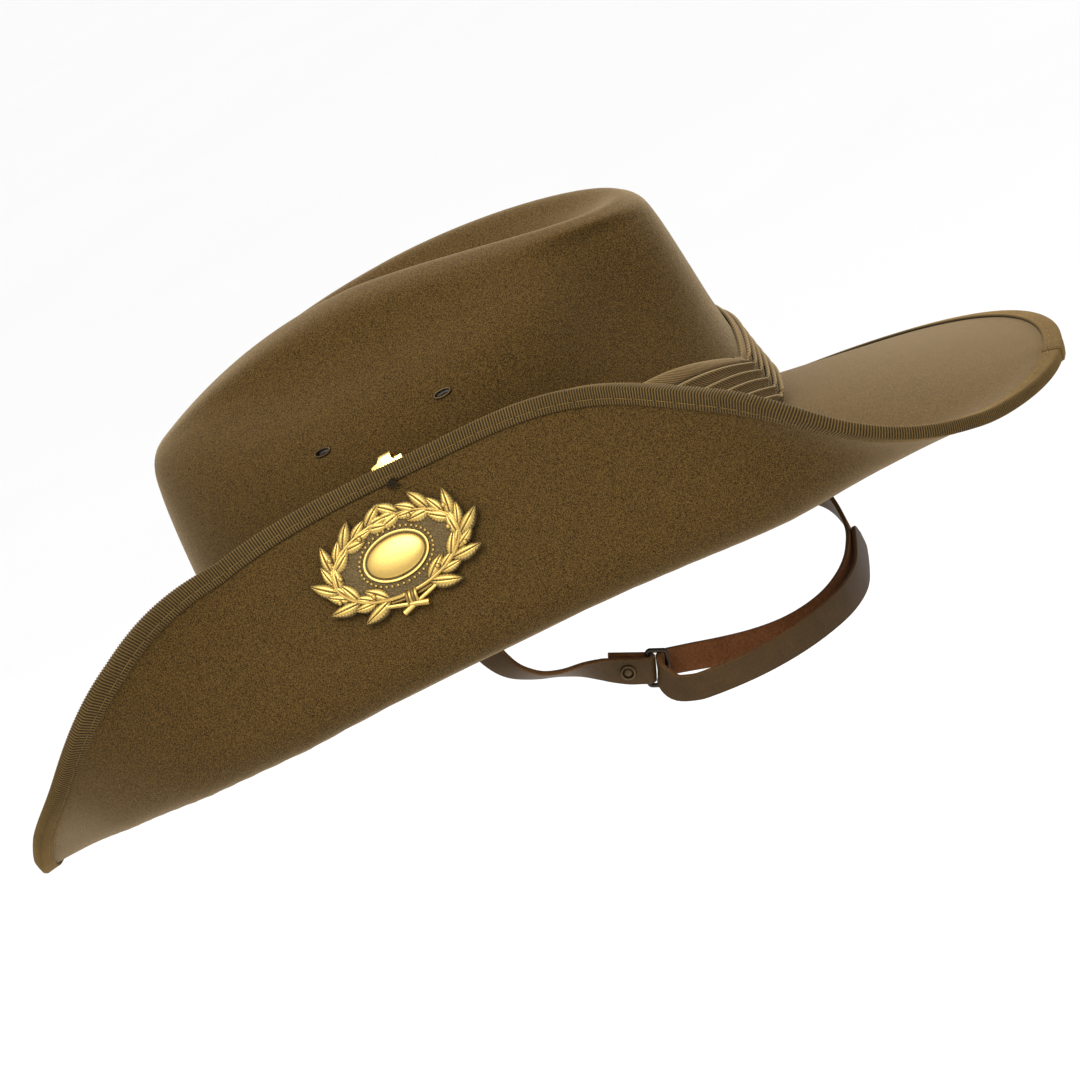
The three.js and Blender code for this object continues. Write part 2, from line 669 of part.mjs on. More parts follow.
// Badge: a cast wreath of laurel round a plain boss, on the outside of the turned-up brim
const badgeSeat = seek(brimPoint, [BADGE_PLACE / (halfLength * 1.7), BRIM * 0.65], BADGE_PLACE, BADGE_LEVEL);
const badgeFrame = (() => {
  const seat = offset(brimPoint, badgeSeat[0], badgeSeat[1], FELT);
  const frame = frameAt(seat.point, seat.normal, vec(0, 0, 1));
  const back = frame.clone().invert();
  let proud = 0;
  for (let a = -24; a <= 24; a++) {
    for (let b = -24; b <= 24; b++) {
      const spot = onBrim(badgeSeat[0] + a * 0.02, badgeSeat[1] + b * 1.5, -FELT).applyMatrix4(back);
      const inside = Math.hypot(spot.x / BADGE_WIDTH, spot.y / BADGE_HEIGHT) < 0.55;
      if (inside && spot.z > proud) proud = spot.z;
    }
  }
  return frameAt(seat.point.addScaledVector(seat.normal, proud + GAP + 0.2), seat.normal, vec(0, 0, 1));
})();

// A leaf: six-sided on the plate, with a raised midrib
function leaf(x, y, angle, long, wide, low, high) {
  const c = Math.cos(angle);
  const s = Math.sin(angle);
  const at = (u, v, z) => vec(x + u * c - v * s, y + u * s + v * c, z);
  const outline = [
    [0, -0.16],
    [0.45, -0.5],
    [1, 0],
    [0.45, 0.5],
    [0, 0.16],
  ];
  const foot = outline.map(([u, v]) => at(u * long, v * wide, low));
  const rim = outline.map(([u, v]) => at(u * long, v * wide, mix(low, high, 0.45)));
  return loft([[at(long * 0.4, 0, low)], foot, rim, [at(long * 0.42, 0, high)]]);
}

function badge() {
  const arcWide = BADGE_WIDTH * 0.36;
  const arcTall = BADGE_HEIGHT * 0.33;
  const centre = BADGE_HEIGHT * -0.02;
  const oval = (wide, tall, z, count) =>
    ringOf(count).map((t) => vec(wide * Math.cos(t), centre + tall * Math.sin(t), z));
  const plate = loft([
    [vec(0, centre, 0)],
    oval(arcWide * 1.08, arcTall * 1.12, 0, 28),
    oval(arcWide * 1.08, arcTall * 1.12, BADGE_PLATE, 28),
    oval(arcWide * 0.8, arcTall * 0.76, BADGE_PLATE, 28),
    [vec(0, centre, BADGE_PLATE)],
  ]);
  const boss = loft([
    [vec(0, centre, BADGE_PLATE * 0.5)],
    oval(arcWide * 0.52, arcTall * 0.62, BADGE_PLATE * 0.5, 20),
    oval(arcWide * 0.52, arcTall * 0.62, BADGE_PLATE * 1.5, 20),
    oval(arcWide * 0.44, arcTall * 0.53, BADGE_PLATE * 2.1, 20),
    oval(arcWide * 0.24, arcTall * 0.29, BADGE_PLATE * 2.6, 20),
    [vec(0, centre, BADGE_PLATE * 2.75)],
  ]);
  let cast = solid(plate).add(solid(boss));
  for (const side of [-1, 1]) {
    for (let i = 0; i < LEAF_PAIRS; i++) {
      const share = i / (LEAF_PAIRS - 1);
      const turn = radians(mix(-72, 74, share));
      const x = arcWide * Math.cos(turn);
      const y = centre + arcTall * Math.sin(turn);
      const along = Math.atan2(arcTall * Math.cos(turn), -arcWide * Math.sin(turn));
      const long = BADGE_HEIGHT * mix(0.29, 0.24, share);
      const wide = BADGE_HEIGHT * 0.125;
      for (const splay of i === LEAF_PAIRS - 1 ? [-0.5, 0.05, 0.6] : [-0.62, 0.62]) {
        const aim = along - splay;
        const angle = side > 0 ? aim : Math.PI - aim;
        const grown = splay > 0.3 ? long * 1.05 : long * 0.92;
        cast = cast.add(solid(leaf(side * x, y, angle, grown, wide, BADGE_PLATE * 0.4, BADGE_PLATE * 2.1)));
      }
    }
    // stems crossed below the boss
    const stem = leaf(side * -arcWide * 0.2, centre - arcTall * 1.42, side > 0 ? 0.3 : Math.PI - 0.3, arcWide * 0.62, 3, 0, BADGE_PLATE * 1.7);
    cast = cast.add(solid(stem));
  }
  const knot = loft([
    [vec(0, centre - arcTall * 1.12, 0)],
    ringOf(10).map((t) => vec(2.6 * Math.cos(t), centre - arcTall * 1.12 + 1.9 * Math.sin(t), 0)),
    ringOf(10).map((t) => vec(2.6 * Math.cos(t), centre - arcTall * 1.12 + 1.9 * Math.sin(t), BADGE_PLATE * 1.6)),
    ringOf(10).map((t) => vec(1.5 * Math.cos(t), centre - arcTall * 1.12 + 1.1 * Math.sin(t), BADGE_PLATE * 2.2)),
    [vec(0, centre - arcTall * 1.12, BADGE_PLATE * 2.3)],
  ]);
  return cast.add(solid(knot));
}
piece("badge", geometryOf(badge()).applyMatrix4(badgeFrame), brass);

// Chin strap
const aim = (swing, lean) => {
  const a = radians(swing);
  const b = radians(lean);
  return vec(Math.sin(a), Math.cos(a) * Math.cos(b), Math.cos(a) * Math.sin(b));
};
const station = (row) => ({
  point: vec(row.out * halfWidth, row.along * halfLength, row.rise * STRAP_DROP),
  width: aim(row.swing, row.lean),
});

// A strap through its stations: the width is squared to the run at each one
function strap(stations) {
  const rings = stations.map((s, i) => {
    const before = stations[Math.max(i - 1, 0)].point;
    const after = stations[Math.min(i + 1, stations.length - 1)].point;
    const run = after.clone().sub(before).normalize();
    const width = s.width.clone().addScaledVector(run, -s.width.dot(run)).normalize();
    const normal = new THREE.Vector3().crossVectors(run, width);
    const corner = (a, b) =>
      s.point.clone().addScaledVector(width, (a * STRAP_WIDTH) / 2).addScaledVector(normal, (b * STRAP) / 2);
    return [corner(-1, -1), corner(1, -1), corner(1, 1), corner(-1, 1)];
  });
  return solid(loft([[centreOf(rings[0])], ...rings, [centreOf(rings.at(-1))]]));
}

// More stations between the rows of a table
function smooth(table, parts) {
  const out = [];
  const keys = ["along", "out", "rise", "swing", "lean"];
  for (let i = 0; i < (table.length - 1) * parts + 1; i++) {
    const row = {};
    for (const key of keys) row[key] = column(table, key, i / parts);
    out.push(station(row));
  }
  return out;
}

// The bars of the buckle lie one behind the other along the strap's run
const strapRun = vec(0, 0.905, -0.425);
const foldWidth = aim(10, 66).addScaledVector(strapRun, -aim(10, 66).dot(strapRun)).normalize();
const foldOut = new THREE.Vector3().crossVectors(foldWidth, strapRun).negate();
const outward = foldOut.x > 0 ? foldOut : foldOut.clone().negate();
const firstBar = vec(halfWidth * 0.877, halfLength * 0.352, -STRAP_DROP * 0.743);
const secondBar = firstBar.clone().addScaledVector(strapRun, BUCKLE_PITCH);
const wrap = BUCKLE_WIRE / 2 + GAP + STRAP / 2;

function foldRound(bar, radius, from, to, steps, forward) {
  return Array.from({ length: steps + 1 }, (_, i) => {
    const t = radians(mix(from, to, i / steps));
    const point = bar
      .clone()
      .addScaledVector(outward, radius * Math.cos(t))
      .addScaledVector(strapRun, forward * radius * Math.sin(t));
    return { point, width: foldWidth };
  });
}

function strapShort() {
  const front = smooth(SHORT_STRAP, 2);
  const fold = foldRound(firstBar, wrap, 0, 180, 6, 1);
  const tail = [3, 8, 12.5].map((back) => ({
    point: fold.at(-1).point.clone().addScaledVector(strapRun, -back).addScaledVector(outward, -0.03 * back),
    width: foldWidth,
  }));
  const lead = [6, 2.5].map((back) => ({
    point: fold[0].point.clone().addScaledVector(strapRun, -back),
    width: foldWidth,
  }));
  return strap([...front, ...lead, ...fold, ...tail]);
}

const studPlace = firstBar.clone().addScaledVector(strapRun, -6).addScaledVector(outward, wrap);
const studFrame = frameAt(studPlace, outward, foldWidth);

function round(frame, radius, from, to, sides) {
  const profile = [
    new THREE.Vector2(0, from),
    new THREE.Vector2(radius, from),
    new THREE.Vector2(radius, to),
    new THREE.Vector2(0, to),
  ];
  return solid(new THREE.LatheGeometry(profile, sides).rotateX(Math.PI / 2).applyMatrix4(frame));
}

const SHANK = 1.0;
const backOfTail = -STRAP * 1.5 - BUCKLE_WIRE - GAP * 2;
const shortStrap = strapShort().subtract(round(studFrame, SHANK + GAP, backOfTail - 3, STRAP * 2, 14));
piece("strap_short", geometryOf(shortStrap), leather);

function stud() {
  const face = STRAP / 2 + GAP;
  const rear = backOfTail - GAP - 0.7;
  const profile = [
    [0, rear - 0.8],
    [2.1, rear - 0.8],
    [2.1, rear],
    [SHANK, rear],
    [SHANK, face],
    [STUD_RADIUS, face],
    [STUD_RADIUS, face + 0.4],
    [STUD_RADIUS * 0.72, face + 0.9],
    [STUD_RADIUS * 0.5, face + 0.6],
    [0, face + 0.7],
  ].map(([r, z]) => new THREE.Vector2(r, z));
  return new THREE.LatheGeometry(profile, 14).rotateX(Math.PI / 2).applyMatrix4(studFrame);
}
piece("strap_stud", geometryOf(solid(stud())), bronze);

function buckle() {
  const half = BUCKLE_LENGTH / 2;
  const corners = [
    firstBar.clone().addScaledVector(foldWidth, -half),
    firstBar.clone().addScaledVector(foldWidth, half),
    secondBar.clone().addScaledVector(foldWidth, half),
    secondBar.clone().addScaledVector(foldWidth, -half),
  ];
  const middle = firstBar.clone().lerp(secondBar, 0.5);
  const rings = corners.map((corner) => {
    const away = corner.clone().sub(middle);
    const along = strapRun.clone().multiplyScalar(Math.sign(away.dot(strapRun)));
    const across = foldWidth.clone().multiplyScalar(Math.sign(away.dot(foldWidth)));
    const diagonal = along.add(across);
    return ringOf(8).map((t) =>
      corner
        .clone()
        .addScaledVector(diagonal, (Math.cos(t) * BUCKLE_WIRE) / 2)
        .addScaledVector(outward, (Math.sin(t) * BUCKLE_WIRE) / 2),
    );
  });
  return solid(loft(rings, true));
}
piece("strap_buckle", geometryOf(buckle()), blackMetal);

function strapLong() {
  const bend = secondBar.clone().addScaledVector(strapRun, 1.3);
  const fold = foldRound(bend, wrap + 1.8, 180, 0, 8, -1).map((s, i, all) => ({
    point: s.point.clone().addScaledVector(vec(0, 0, -1), mix(-0.4, 3.8, (i / (all.length - 1)) ** 2)),
    width: s.width,
  }));
  return strap([...smooth(LONG_STRAP_RUNNING, 2), ...fold, ...smooth(LONG_STRAP_TAIL, 2)]);
}
piece("strap_long", geometryOf(strapLong()), leather);

export default hat;
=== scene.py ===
# Slouch hat: felt body, ribbed binding, pleated band, hook, badge and chin strap.
# Shapes are worked out in millimetres and stored in metres.
import math

import bpy
import numpy as np
from mathutils import Matrix, Vector


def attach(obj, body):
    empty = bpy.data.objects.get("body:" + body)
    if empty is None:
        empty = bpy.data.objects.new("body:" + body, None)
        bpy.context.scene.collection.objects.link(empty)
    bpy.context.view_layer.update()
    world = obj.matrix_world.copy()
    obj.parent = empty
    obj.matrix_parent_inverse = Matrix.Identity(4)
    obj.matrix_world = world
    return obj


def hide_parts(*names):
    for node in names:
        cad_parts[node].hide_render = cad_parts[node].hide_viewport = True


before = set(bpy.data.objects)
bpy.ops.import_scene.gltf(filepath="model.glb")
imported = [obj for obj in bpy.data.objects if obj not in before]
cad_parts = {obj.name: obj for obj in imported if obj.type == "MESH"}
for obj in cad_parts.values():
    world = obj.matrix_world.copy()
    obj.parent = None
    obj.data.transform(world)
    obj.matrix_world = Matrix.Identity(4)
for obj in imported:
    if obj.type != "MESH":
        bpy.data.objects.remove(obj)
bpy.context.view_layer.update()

MM = 0.001

# Fineness of the pieces: columns round the hat and for each rib, rows of crown and brim
FELT_COLUMNS = 400
OUTER_ROWS = (84, 60)
INNER_ROWS = (40, 30)
BAND_COLUMNS = 620
RIB_COLUMNS = 4

# Sizes of the hat, in millimetres and degrees
HEAD_LENGTH = 202
HEAD_WIDTH = 164
FELT = 2.2
CROWN_HEIGHT = 97
BRIM = 90
DROOP_ENDS = 15.0
DROOP_TURNED = 25.3
DROOP_PLAIN = 16.9
BREAK_RADIUS = 4
GAP = 0.3
BINDING_WIDTH = 5.1
BINDING = 0.7
BAND_HEIGHT = 36
BAND_NOTCH = 20
BAND_FOOT = 4.2
PLEATS = 7
TOP_PLEAT = 0.2
CHEVRON_PLACE = 7.5
CHEVRON_REACH = 43
VENT_WIDTH = 6.4
VENT_HEIGHT = 3.0
VENT_RIM = 0.6
VENT_PLACES = [-23, 20]
VENT_LEVEL = 64
BADGE_WIDTH = 60
BADGE_HEIGHT = 37
BADGE_PLATE = 1.1
BADGE_PLACE = -10
BADGE_LEVEL = 30
LEAF_PAIRS = 6
HOOK_PLACE = -3
HOOK_WIDTH = 10.5
HOOK_TONGUE = 4
HOOK_METAL = 0.9
CATCH_WIRE = 0.9
CATCH_BASE = 0.7
CATCH_STAND = 4.1
STRAP_WIDTH = 9
STRAP = 1.5
STRAP_DROP = 56
BUCKLE_WIRE = 1.5
BUCKLE_PITCH = 6.1
BUCKLE_LENGTH = 12.2
STUD_RADIUS = 2.6
RIDGE_STEP = 6
RIDGE_SPREAD = 0.4
ARCH_FRONT = 2.1
ARCH_BACK = 1.6
RIB_PITCH = 0.95
RIB_HEIGHT = 0.16
JOINT_PLACE = 88
LAP = 0.55
LAP_REACH = 5
STITCH_PITCH = 7.0
STITCH_SHARE = 0.87
STITCH_LINE = 2.0
STITCH_RADIUS = 0.15

# Sections of the crown, brim to top. Heights are shares of CROWN_HEIGHT, widths of half HEAD_WIDTH,
# front and back of half HEAD_LENGTH.
CROWN = {
    "mid": [0.04, 0.2, 0.38, 0.56, 0.72, 0.84, 0.93, 0.985, 1.0, 0.945, 0.86, 0.82],
    "ends": [0.04, 0.2, 0.37, 0.53, 0.66, 0.745, 0.8, 0.835, 0.86, 0.84, 0.81, 0.82],
    "width": [1.0, 0.975, 0.94, 0.87, 0.77, 0.655, 0.53, 0.41, 0.3, 0.205, 0.11, 0.0],
    "front": [0.975, 0.952, 0.941, 0.93, 0.917, 0.902, 0.87, 0.815, 0.735, 0.61, 0.38, 0.0],
    "back": [0.995, 0.965, 0.945, 0.937, 0.93, 0.922, 0.91, 0.88, 0.83, 0.71, 0.47, 0.0],
    "flare": [0.0, 0.0, 0.0, 0.02, 0.07, 0.16, 0.32, 0.55, 0.8, 0.95, 0.95, 0.95],
}

# Soft dents in both sides of the crown, as shares of half HEAD_LENGTH and of CROWN_HEIGHT
DENTS = [
    {"along": -0.18, "level": 0.84, "reach": 0.62, "tall": 0.1, "depth": 0.05},
    {"along": 0.78, "level": 0.62, "reach": 0.17, "tall": 0.3, "depth": 0.075},
    {"along": 0.42, "level": 0.72, "reach": 0.2, "tall": 0.22, "depth": -0.02},
]

# Where the turned-up side of the brim rolls, from front to back
FOLDS = {
    "along": [-1, -0.88, -0.74, -0.56, -0.34, 0, 0.32, 0.54, 0.72, 0.88, 1],
    "fold": [0.11, 0.32, 0.59, 0.86, 1.05, 1.13, 1.06, 0.93, 0.64, 0.32, -0.10],
    "turn": [14, 33, 54, 91, 131, 142, 131, 102, 51, 23, 7],
    "roll": [0.3, 0.3, 0.3, 0.3, 0.3, 0.3, 0.33, 0.42, 0.5, 0.55, 0.6],
}

# Middle lines of the chin strap: along, out, rise, swing, lean
SHORT_STRAP = [
    (-0.079, 0.92, 0.42, 0, 0),
    (-0.079, 0.92, 0.1, 2, 0),
    (-0.066, 0.915, -0.17, 8, 4),
    (-0.03, 0.91, -0.37, 30, 14),
    (0.035, 0.9, -0.485, 58, 34),
    (0.105, 0.888, -0.545, 66, 50),
    (0.175, 0.885, -0.59, 48, 60),
    (0.235, 0.892, -0.64, 24, 66),
]
LONG_STRAP_RUNNING = [
    (-0.079, -0.92, 0.42, 0, 0),
    (-0.079, -0.92, 0.1, 0, 0),
    (-0.03, -0.92, -0.12, 0, 14),
    (0.12, -0.89, -0.34, 0, 42),
    (0.36, -0.83, -0.5, 0, 66),
    (0.6, -0.71, -0.6, 0, 78),
    (0.8, -0.53, -0.66, 0, 84),
    (0.928, -0.3, -0.74, 0, 88),
    (0.983, -0.02, -0.88, 0, 90),
    (0.985, 0.2, -0.935, 0, 91),
    (0.962, 0.38, -0.965, 0, 92),
    (0.912, 0.535, -0.98, 0, 93),
    (0.842, 0.64, -0.98, 0, 93),
    (0.757, 0.715, -0.962, 0, 91),
    (0.66, 0.765, -0.922, -3, 86),
    (0.56, 0.795, -0.868, -4, 80),
    (0.485, 0.815, -0.82, -4, 75),
]
LONG_STRAP_TAIL = [
    (0.475, 0.94, -0.942, 8, 72),
    (0.57, 0.935, -0.96, 8, 78),
    (0.68, 0.895, -0.98, 6, 84),
    (0.79, 0.815, -0.995, 3, 88),
    (0.885, 0.71, -1.0, 0, 90),
    (0.957, 0.575, -1.0, 0, 90),
    (0.999, 0.385, -0.99, 0, 90),
    (1.008, 0.19, -0.95, 0, 90),
    (1.006, 0.0, -0.9, 0, 90),
]

half_length = HEAD_LENGTH / 2
half_width = HEAD_WIDTH / 2


def column(values, place):
    """Catmull-Rom through values one unit apart."""
    values = np.asarray(values, float)
    last = len(values) - 1
    row = np.clip(np.floor(place).astype(int), 0, last - 1)
    t = np.clip(place - row, 0, 1)
    a = values[np.clip(row - 1, 0, last)]
    b = values[row]
    c = values[row + 1]
    d = values[np.clip(row + 2, 0, last)]
    slope_in = (c - a) / 2
    slope_out = (d - b) / 2
    cube = 2 * b - 2 * c + slope_in + slope_out
    square = -3 * b + 3 * c - 2 * slope_in - slope_out
    return ((cube * t + square) * t + slope_in) * t + b


def smoothstep(x, low, high):
    t = np.clip((x - low) / (high - low), 0, 1)
    return t * t * (3 - 2 * t)


def mix(a, b, t):
    return a + (b - a) * t


def unit(v):
    return v / np.linalg.norm(v, axis=-1, keepdims=True)


def vec(*values):
    return np.array(values, float)


def turned_point(x, y, px, py, angle):
    """A flat point turned by an angle, then moved by x and y."""
    c = math.cos(angle)
    s = math.sin(angle)
    return x + px * c - py * s, y + px * s + py * c


def apart(angle, other):
    return np.abs(np.arctan2(np.sin(angle - other), np.cos(angle - other)))


def run_of(points):
    """Length along a line from its first point to each of its points."""
    return np.concatenate([[0], np.cumsum(np.linalg.norm(np.diff(points, axis=0), axis=1))])


def through(rows, places):
    """A smooth line through rows of numbers, at places counted in rows."""
    return np.stack([column(values, places) for values in np.asarray(rows, float).T], -1)


def crown_point(angle, section):
    angle, section = np.broadcast_arrays(np.asarray(angle, float), np.asarray(section, float))
    c = np.cos(angle)
    s = np.sin(angle)
    width = column(CROWN["width"], section)
    reach = np.where(s < 0, column(CROWN["front"], section), column(CROWN["back"], section))
    arch = np.abs(s) ** np.where(s < 0, ARCH_FRONT, ARCH_BACK)
    x = half_width * width * c * (1 + column(CROWN["flare"], section) * s)
    y = half_length * reach * s
    level = mix(column(CROWN["mid"], section), column(CROWN["ends"], section), arch)
    step = np.sin(np.clip(x / (half_width * RIDGE_SPREAD), -1, 1) * np.pi / 2)
    rise = smoothstep(level, 0.4, 0.95)
    z = CROWN_HEIGHT * level + RIDGE_STEP / 2 * step * rise * (1 - np.clip(s, 0, 1))
    outer = smoothstep(width, 0.4, 0.6)
    inward = -c / (c * c + 0.04) ** 0.3
    for dent in DENTS:
        dy = (y / half_length - dent["along"]) / dent["reach"]
        dz = (level - dent["level"]) / dent["tall"]
        x = x + inward * dent["depth"] * HEAD_WIDTH * outer * np.exp(-dy * dy - dz * dz)
    return np.stack([x, y, z], -1)


def opening_point(angle):
    s = np.sin(angle)
    reach = np.where(s < 0, CROWN["front"][0], CROWN["back"][0])
    return np.stack([half_width * np.cos(angle), half_length * reach * s, 0 * s], -1)


def opening_normal(angle):
    s = np.sin(angle)
    reach = np.where(s < 0, CROWN["front"][0], CROWN["back"][0])
    return unit(np.stack([np.cos(angle) * half_length * reach, s * half_width, 0 * s], -1))


brim_half = half_length + BRIM * math.cos(math.radians(DROOP_ENDS))


def brim_point(angle, reach):
    """Upper face of the brim, out along the felt by reach."""
    angle, reach = np.broadcast_arrays(np.asarray(angle, float), np.asarray(reach, float))
    side = np.where(np.cos(angle) > 0, DROOP_TURNED, DROOP_PLAIN)
    droop = np.radians(mix(DROOP_ENDS, side, np.cos(angle) ** 2))
    point = opening_point(angle) + opening_normal(angle) * (reach * np.cos(droop))[..., None]
    px = point[..., 0]
    py = point[..., 1]
    pz = -reach * np.sin(droop)
    place = np.interp(py / brim_half, FOLDS["along"], np.arange(len(FOLDS["along"])))
    fold = column(FOLDS["fold"], place) * half_width
    turn = np.radians(column(FOLDS["turn"], place))
    roll = column(FOLDS["roll"], place) * BRIM
    beyond = px - fold
    slope = droop * np.clip(px / half_width, 0, 1)
    travel = np.maximum(beyond, 0) / np.cos(slope)
    steps = 24
    x = fold.copy()
    z = pz + beyond * np.tan(slope)
    for i in range(steps):
        t = (i + 0.5) / steps * travel
        heading = -slope + turn * smoothstep(t / roll, 0, 1)
        x = x + np.cos(heading) * travel / steps
        z = z + np.sin(heading) * travel / steps
    x = np.where(beyond > 0, x, px)
    z = np.where(beyond > 0, z, pz)
    return np.stack([x, py, z], -1)


def crown_at(angle, level):
    """A place on the outside of the crown at a height above the brim."""
    angle, level = np.broadcast_arrays(np.asarray(angle, float), np.asarray(level, float))
    low = np.zeros(angle.shape)
    high = np.full(angle.shape, 8.0)
    for _ in range(22):
        middle = (low + high) / 2
        under = crown_point(angle, middle)[..., 2] < level
        low = np.where(under, middle, low)
        high = np.where(under, high, middle)
    return crown_point(angle, (low + high) / 2)


STEP = 1e-3


def offset(surface, a, b, out, step_a=STEP, step_b=STEP):
    """A surface point moved out of the surface, and the normal there."""
    along_a = surface(a + step_a, b) - surface(a - step_a, b)
    along_b = surface(a, b + step_b) - surface(a, b - step_b)
    normal = unit(np.cross(along_a, along_b))
    return surface(a, b) + normal * np.asarray(out, float)[..., None], normal


def on_crown(angle, section, out):
    return offset(crown_point, angle, section, out)[0]


def on_brim(angle, reach, out):
    return offset(brim_point, angle, reach, -np.asarray(out, float))[0]


def wall_at(angle, level):
    """The crown's wall, carried straight down past its lowest section."""
    lowest = CROWN_HEIGHT * CROWN["mid"][0] + 0.15
    point = crown_at(angle, np.maximum(level, lowest))
    point[..., 2] += np.minimum(level - lowest, 0)
    return point


def on_wall(angle, level, out):
    return offset(wall_at, angle, level, out, step_b=0.1)[0]


def seek(surface, start, along, level):
    """The two numbers at which a surface has a place along the hat and a height."""
    a, b = start
    for _ in range(30):
        here = surface(a, b)
        da = (surface(a + STEP, b) - here) / STEP
        db = (surface(a, b + STEP) - here) / STEP
        area = da[1] * db[2] - da[2] * db[1]
        dy = along - here[1]
        dz = level - here[2]
        a += (dy * db[2] - dz * db[1]) / area
        b += (dz * da[1] - dy * da[2]) / area
    return a, b


class Frame:
    """x to the right as seen from outside, y up the surface, z out of it."""

    def __init__(self, origin, out, up):
        self.origin = np.asarray(origin, float)
        self.z = unit(np.asarray(out, float))
        self.x = unit(np.cross(up, self.z))
        self.y = np.cross(self.z, self.x)

    def at(self, points):
        points = np.asarray(points, float)
        x, y, z = (points[..., i : i + 1] for i in range(3))
        return self.origin + x * self.x + y * self.y + z * self.z

    def local(self, points):
        d = np.asarray(points, float) - self.origin
        return np.stack([d @ self.x, d @ self.y, d @ self.z], -1)


class Shell:
    """Vertices, faces and corner coordinates of one piece, gathered from grids."""

    def __init__(self):
        self.points = []
        self.relief = []
        self.faces = []
        self.corners = []
        self.slots = []
        self.count = 0

    def add(self, grid, wrap_rows=False, wrap_cols=False, u=None, v=None, caps=False, slots=0, relief=0.5):
        grid = np.asarray(grid, float)
        rows, cols = grid.shape[:2]
        index = np.arange(rows * cols).reshape(rows, cols) + self.count
        r, c = np.meshgrid(
            np.arange(rows if wrap_rows else rows - 1),
            np.arange(cols if wrap_cols else cols - 1),
            indexing="ij",
        )
        r1 = (r + 1) % rows
        c1 = (c + 1) % cols
        quads = np.stack([index[r, c], index[r, c1], index[r1, c1], index[r1, c]], -1).reshape(-1, 4)
        u = np.zeros(cols + 1) if u is None else np.asarray(u, float)
        v = np.zeros(rows + 1) if v is None else np.asarray(v, float)
        tall = np.broadcast_to(v if v.ndim == 2 else v[:, None], (rows + 1, cols + 1))
        wide = np.broadcast_to(u, (rows + 1, cols + 1))
        uv = np.stack([wide, tall], -1)
        corner = np.stack([uv[r, c], uv[r, c + 1], uv[r + 1, c + 1], uv[r + 1, c]], -2).reshape(-1, 4, 2)
        flat = grid.reshape(-1, 3)
        local = quads - self.count
        p = flat[local]
        volume = np.einsum("ij,ij->i", p[:, 0], np.cross(p[:, 1], p[:, 2])).sum()
        volume += np.einsum("ij,ij->i", p[:, 0], np.cross(p[:, 2], p[:, 3])).sum()
        faces = quads.tolist()
        if caps:
            ends = [index[::-1, 0].tolist(), index[:, -1].tolist()]
            for end in ends:
                q = flat[np.array(end) - self.count]
                for i in range(1, len(end) - 1):
                    volume += np.dot(q[0], np.cross(q[i], q[i + 1]))
            faces += ends
        slot_of_row = np.broadcast_to(np.asarray(slots), (rows,))
        face_slots = slot_of_row[r.ravel()].tolist()
        corners = corner.tolist()
        if caps:
            corners += [[[0, 0]] * rows, [[0, 0]] * rows]
            face_slots += [int(slot_of_row[0])] * 2
        if volume < 0:
            faces = [f[::-1] for f in faces]
            corners = [k[::-1] for k in corners]
        self.points.append(flat)
        self.relief.append(np.broadcast_to(np.asarray(relief, float), (rows, cols)).reshape(-1))
        self.faces += faces
        self.corners += corners
        self.slots += face_slots
        self.count += len(flat)
        return self

    def piece(self, name, slot, replaces=(), materials=()):
        obj = add_mesh(name, np.concatenate(self.points), self.faces)
        mesh = obj.data
        layer = mesh.uv_layers.new(name="run")
        flat = np.array([xy for face in self.corners for xy in face], np.float32)
        layer.data.foreach_set("uv", flat.ravel())
        add_relief(mesh, np.concatenate(self.relief))
        for material in materials:
            mesh.materials.append(material)
        mesh.polygons.foreach_set("material_index", self.slots)
        mesh.polygons.foreach_set("use_smooth", [True] * len(self.faces))
        mesh.update()
        return dress(obj, replaces)


def add_object(name, data):
    obj = bpy.data.objects.new(name, data)
    bpy.context.scene.collection.objects.link(obj)
    return obj


def add_mesh(name, points, faces):
    """An object of its own from points in millimetres."""
    mesh = bpy.data.meshes.new(name)
    mesh.from_pydata((np.asarray(points) * MM).tolist(), [], faces)
    return add_object(name, mesh)


def add_relief(mesh, values):
    """How high each point stands, for the materials; on the ribbon and the cotton band it also sets painted
    shade and highlight.
    """
    attribute = mesh.attributes.new("relief", "FLOAT", "POINT")
    attribute.data.foreach_set("value", values.astype(np.float32))


def dress(obj, replaces=()):
    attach(obj, "root")
    if replaces:
        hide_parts(*replaces)
    return obj


def apply_modifiers(obj):
    """Gives an object the smooth mesh that its modifiers make."""
    depsgraph = bpy.context.evaluated_depsgraph_get()
    made = bpy.data.meshes.new_from_object(obj.evaluated_get(depsgraph))
    obj.modifiers.clear()
    obj.data = made
    made.polygons.foreach_set("use_smooth", [True] * len(made.polygons))
    return made


def sharpen(obj, degrees):
    """Keeps edges sharper than an angle crisp under smooth shading."""
    obj.data.set_sharp_from_angle(angle=math.radians(degrees))
    return obj


def tube(points, radius, sides=8, closed=False):
    """Grid of a round tube along points: rows go round it, columns along it."""
    points = np.asarray(points, float)
    if closed:
        tangent = unit(np.roll(points, -1, 0) - np.roll(points, 1, 0))
    else:
        tangent = unit(np.gradient(points, axis=0))
    side = unit(np.cross(tangent[0], [0.31, 0.42, 0.85]))
    sides_at = []
    for heading in tangent:
        side = unit(side - heading * np.dot(side, heading))
        sides_at.append(side)
    across = np.array(sides_at)
    other = np.cross(tangent, across)
    radius = np.broadcast_to(np.asarray(radius, float), (len(points),))[None, :, None]
    turn = (np.arange(sides) / sides * 2 * np.pi)[:, None, None]
    return points[None] + radius * (np.cos(turn) * across[None] + np.sin(turn) * other[None])


# Materials


def srgb(*levels):
    """A colour from levels of 255."""
    shares = [level / 255 for level in levels]
    return tuple(s / 12.92 if s <= 0.04045 else ((s + 0.055) / 1.055) ** 2.4 for s in shares)


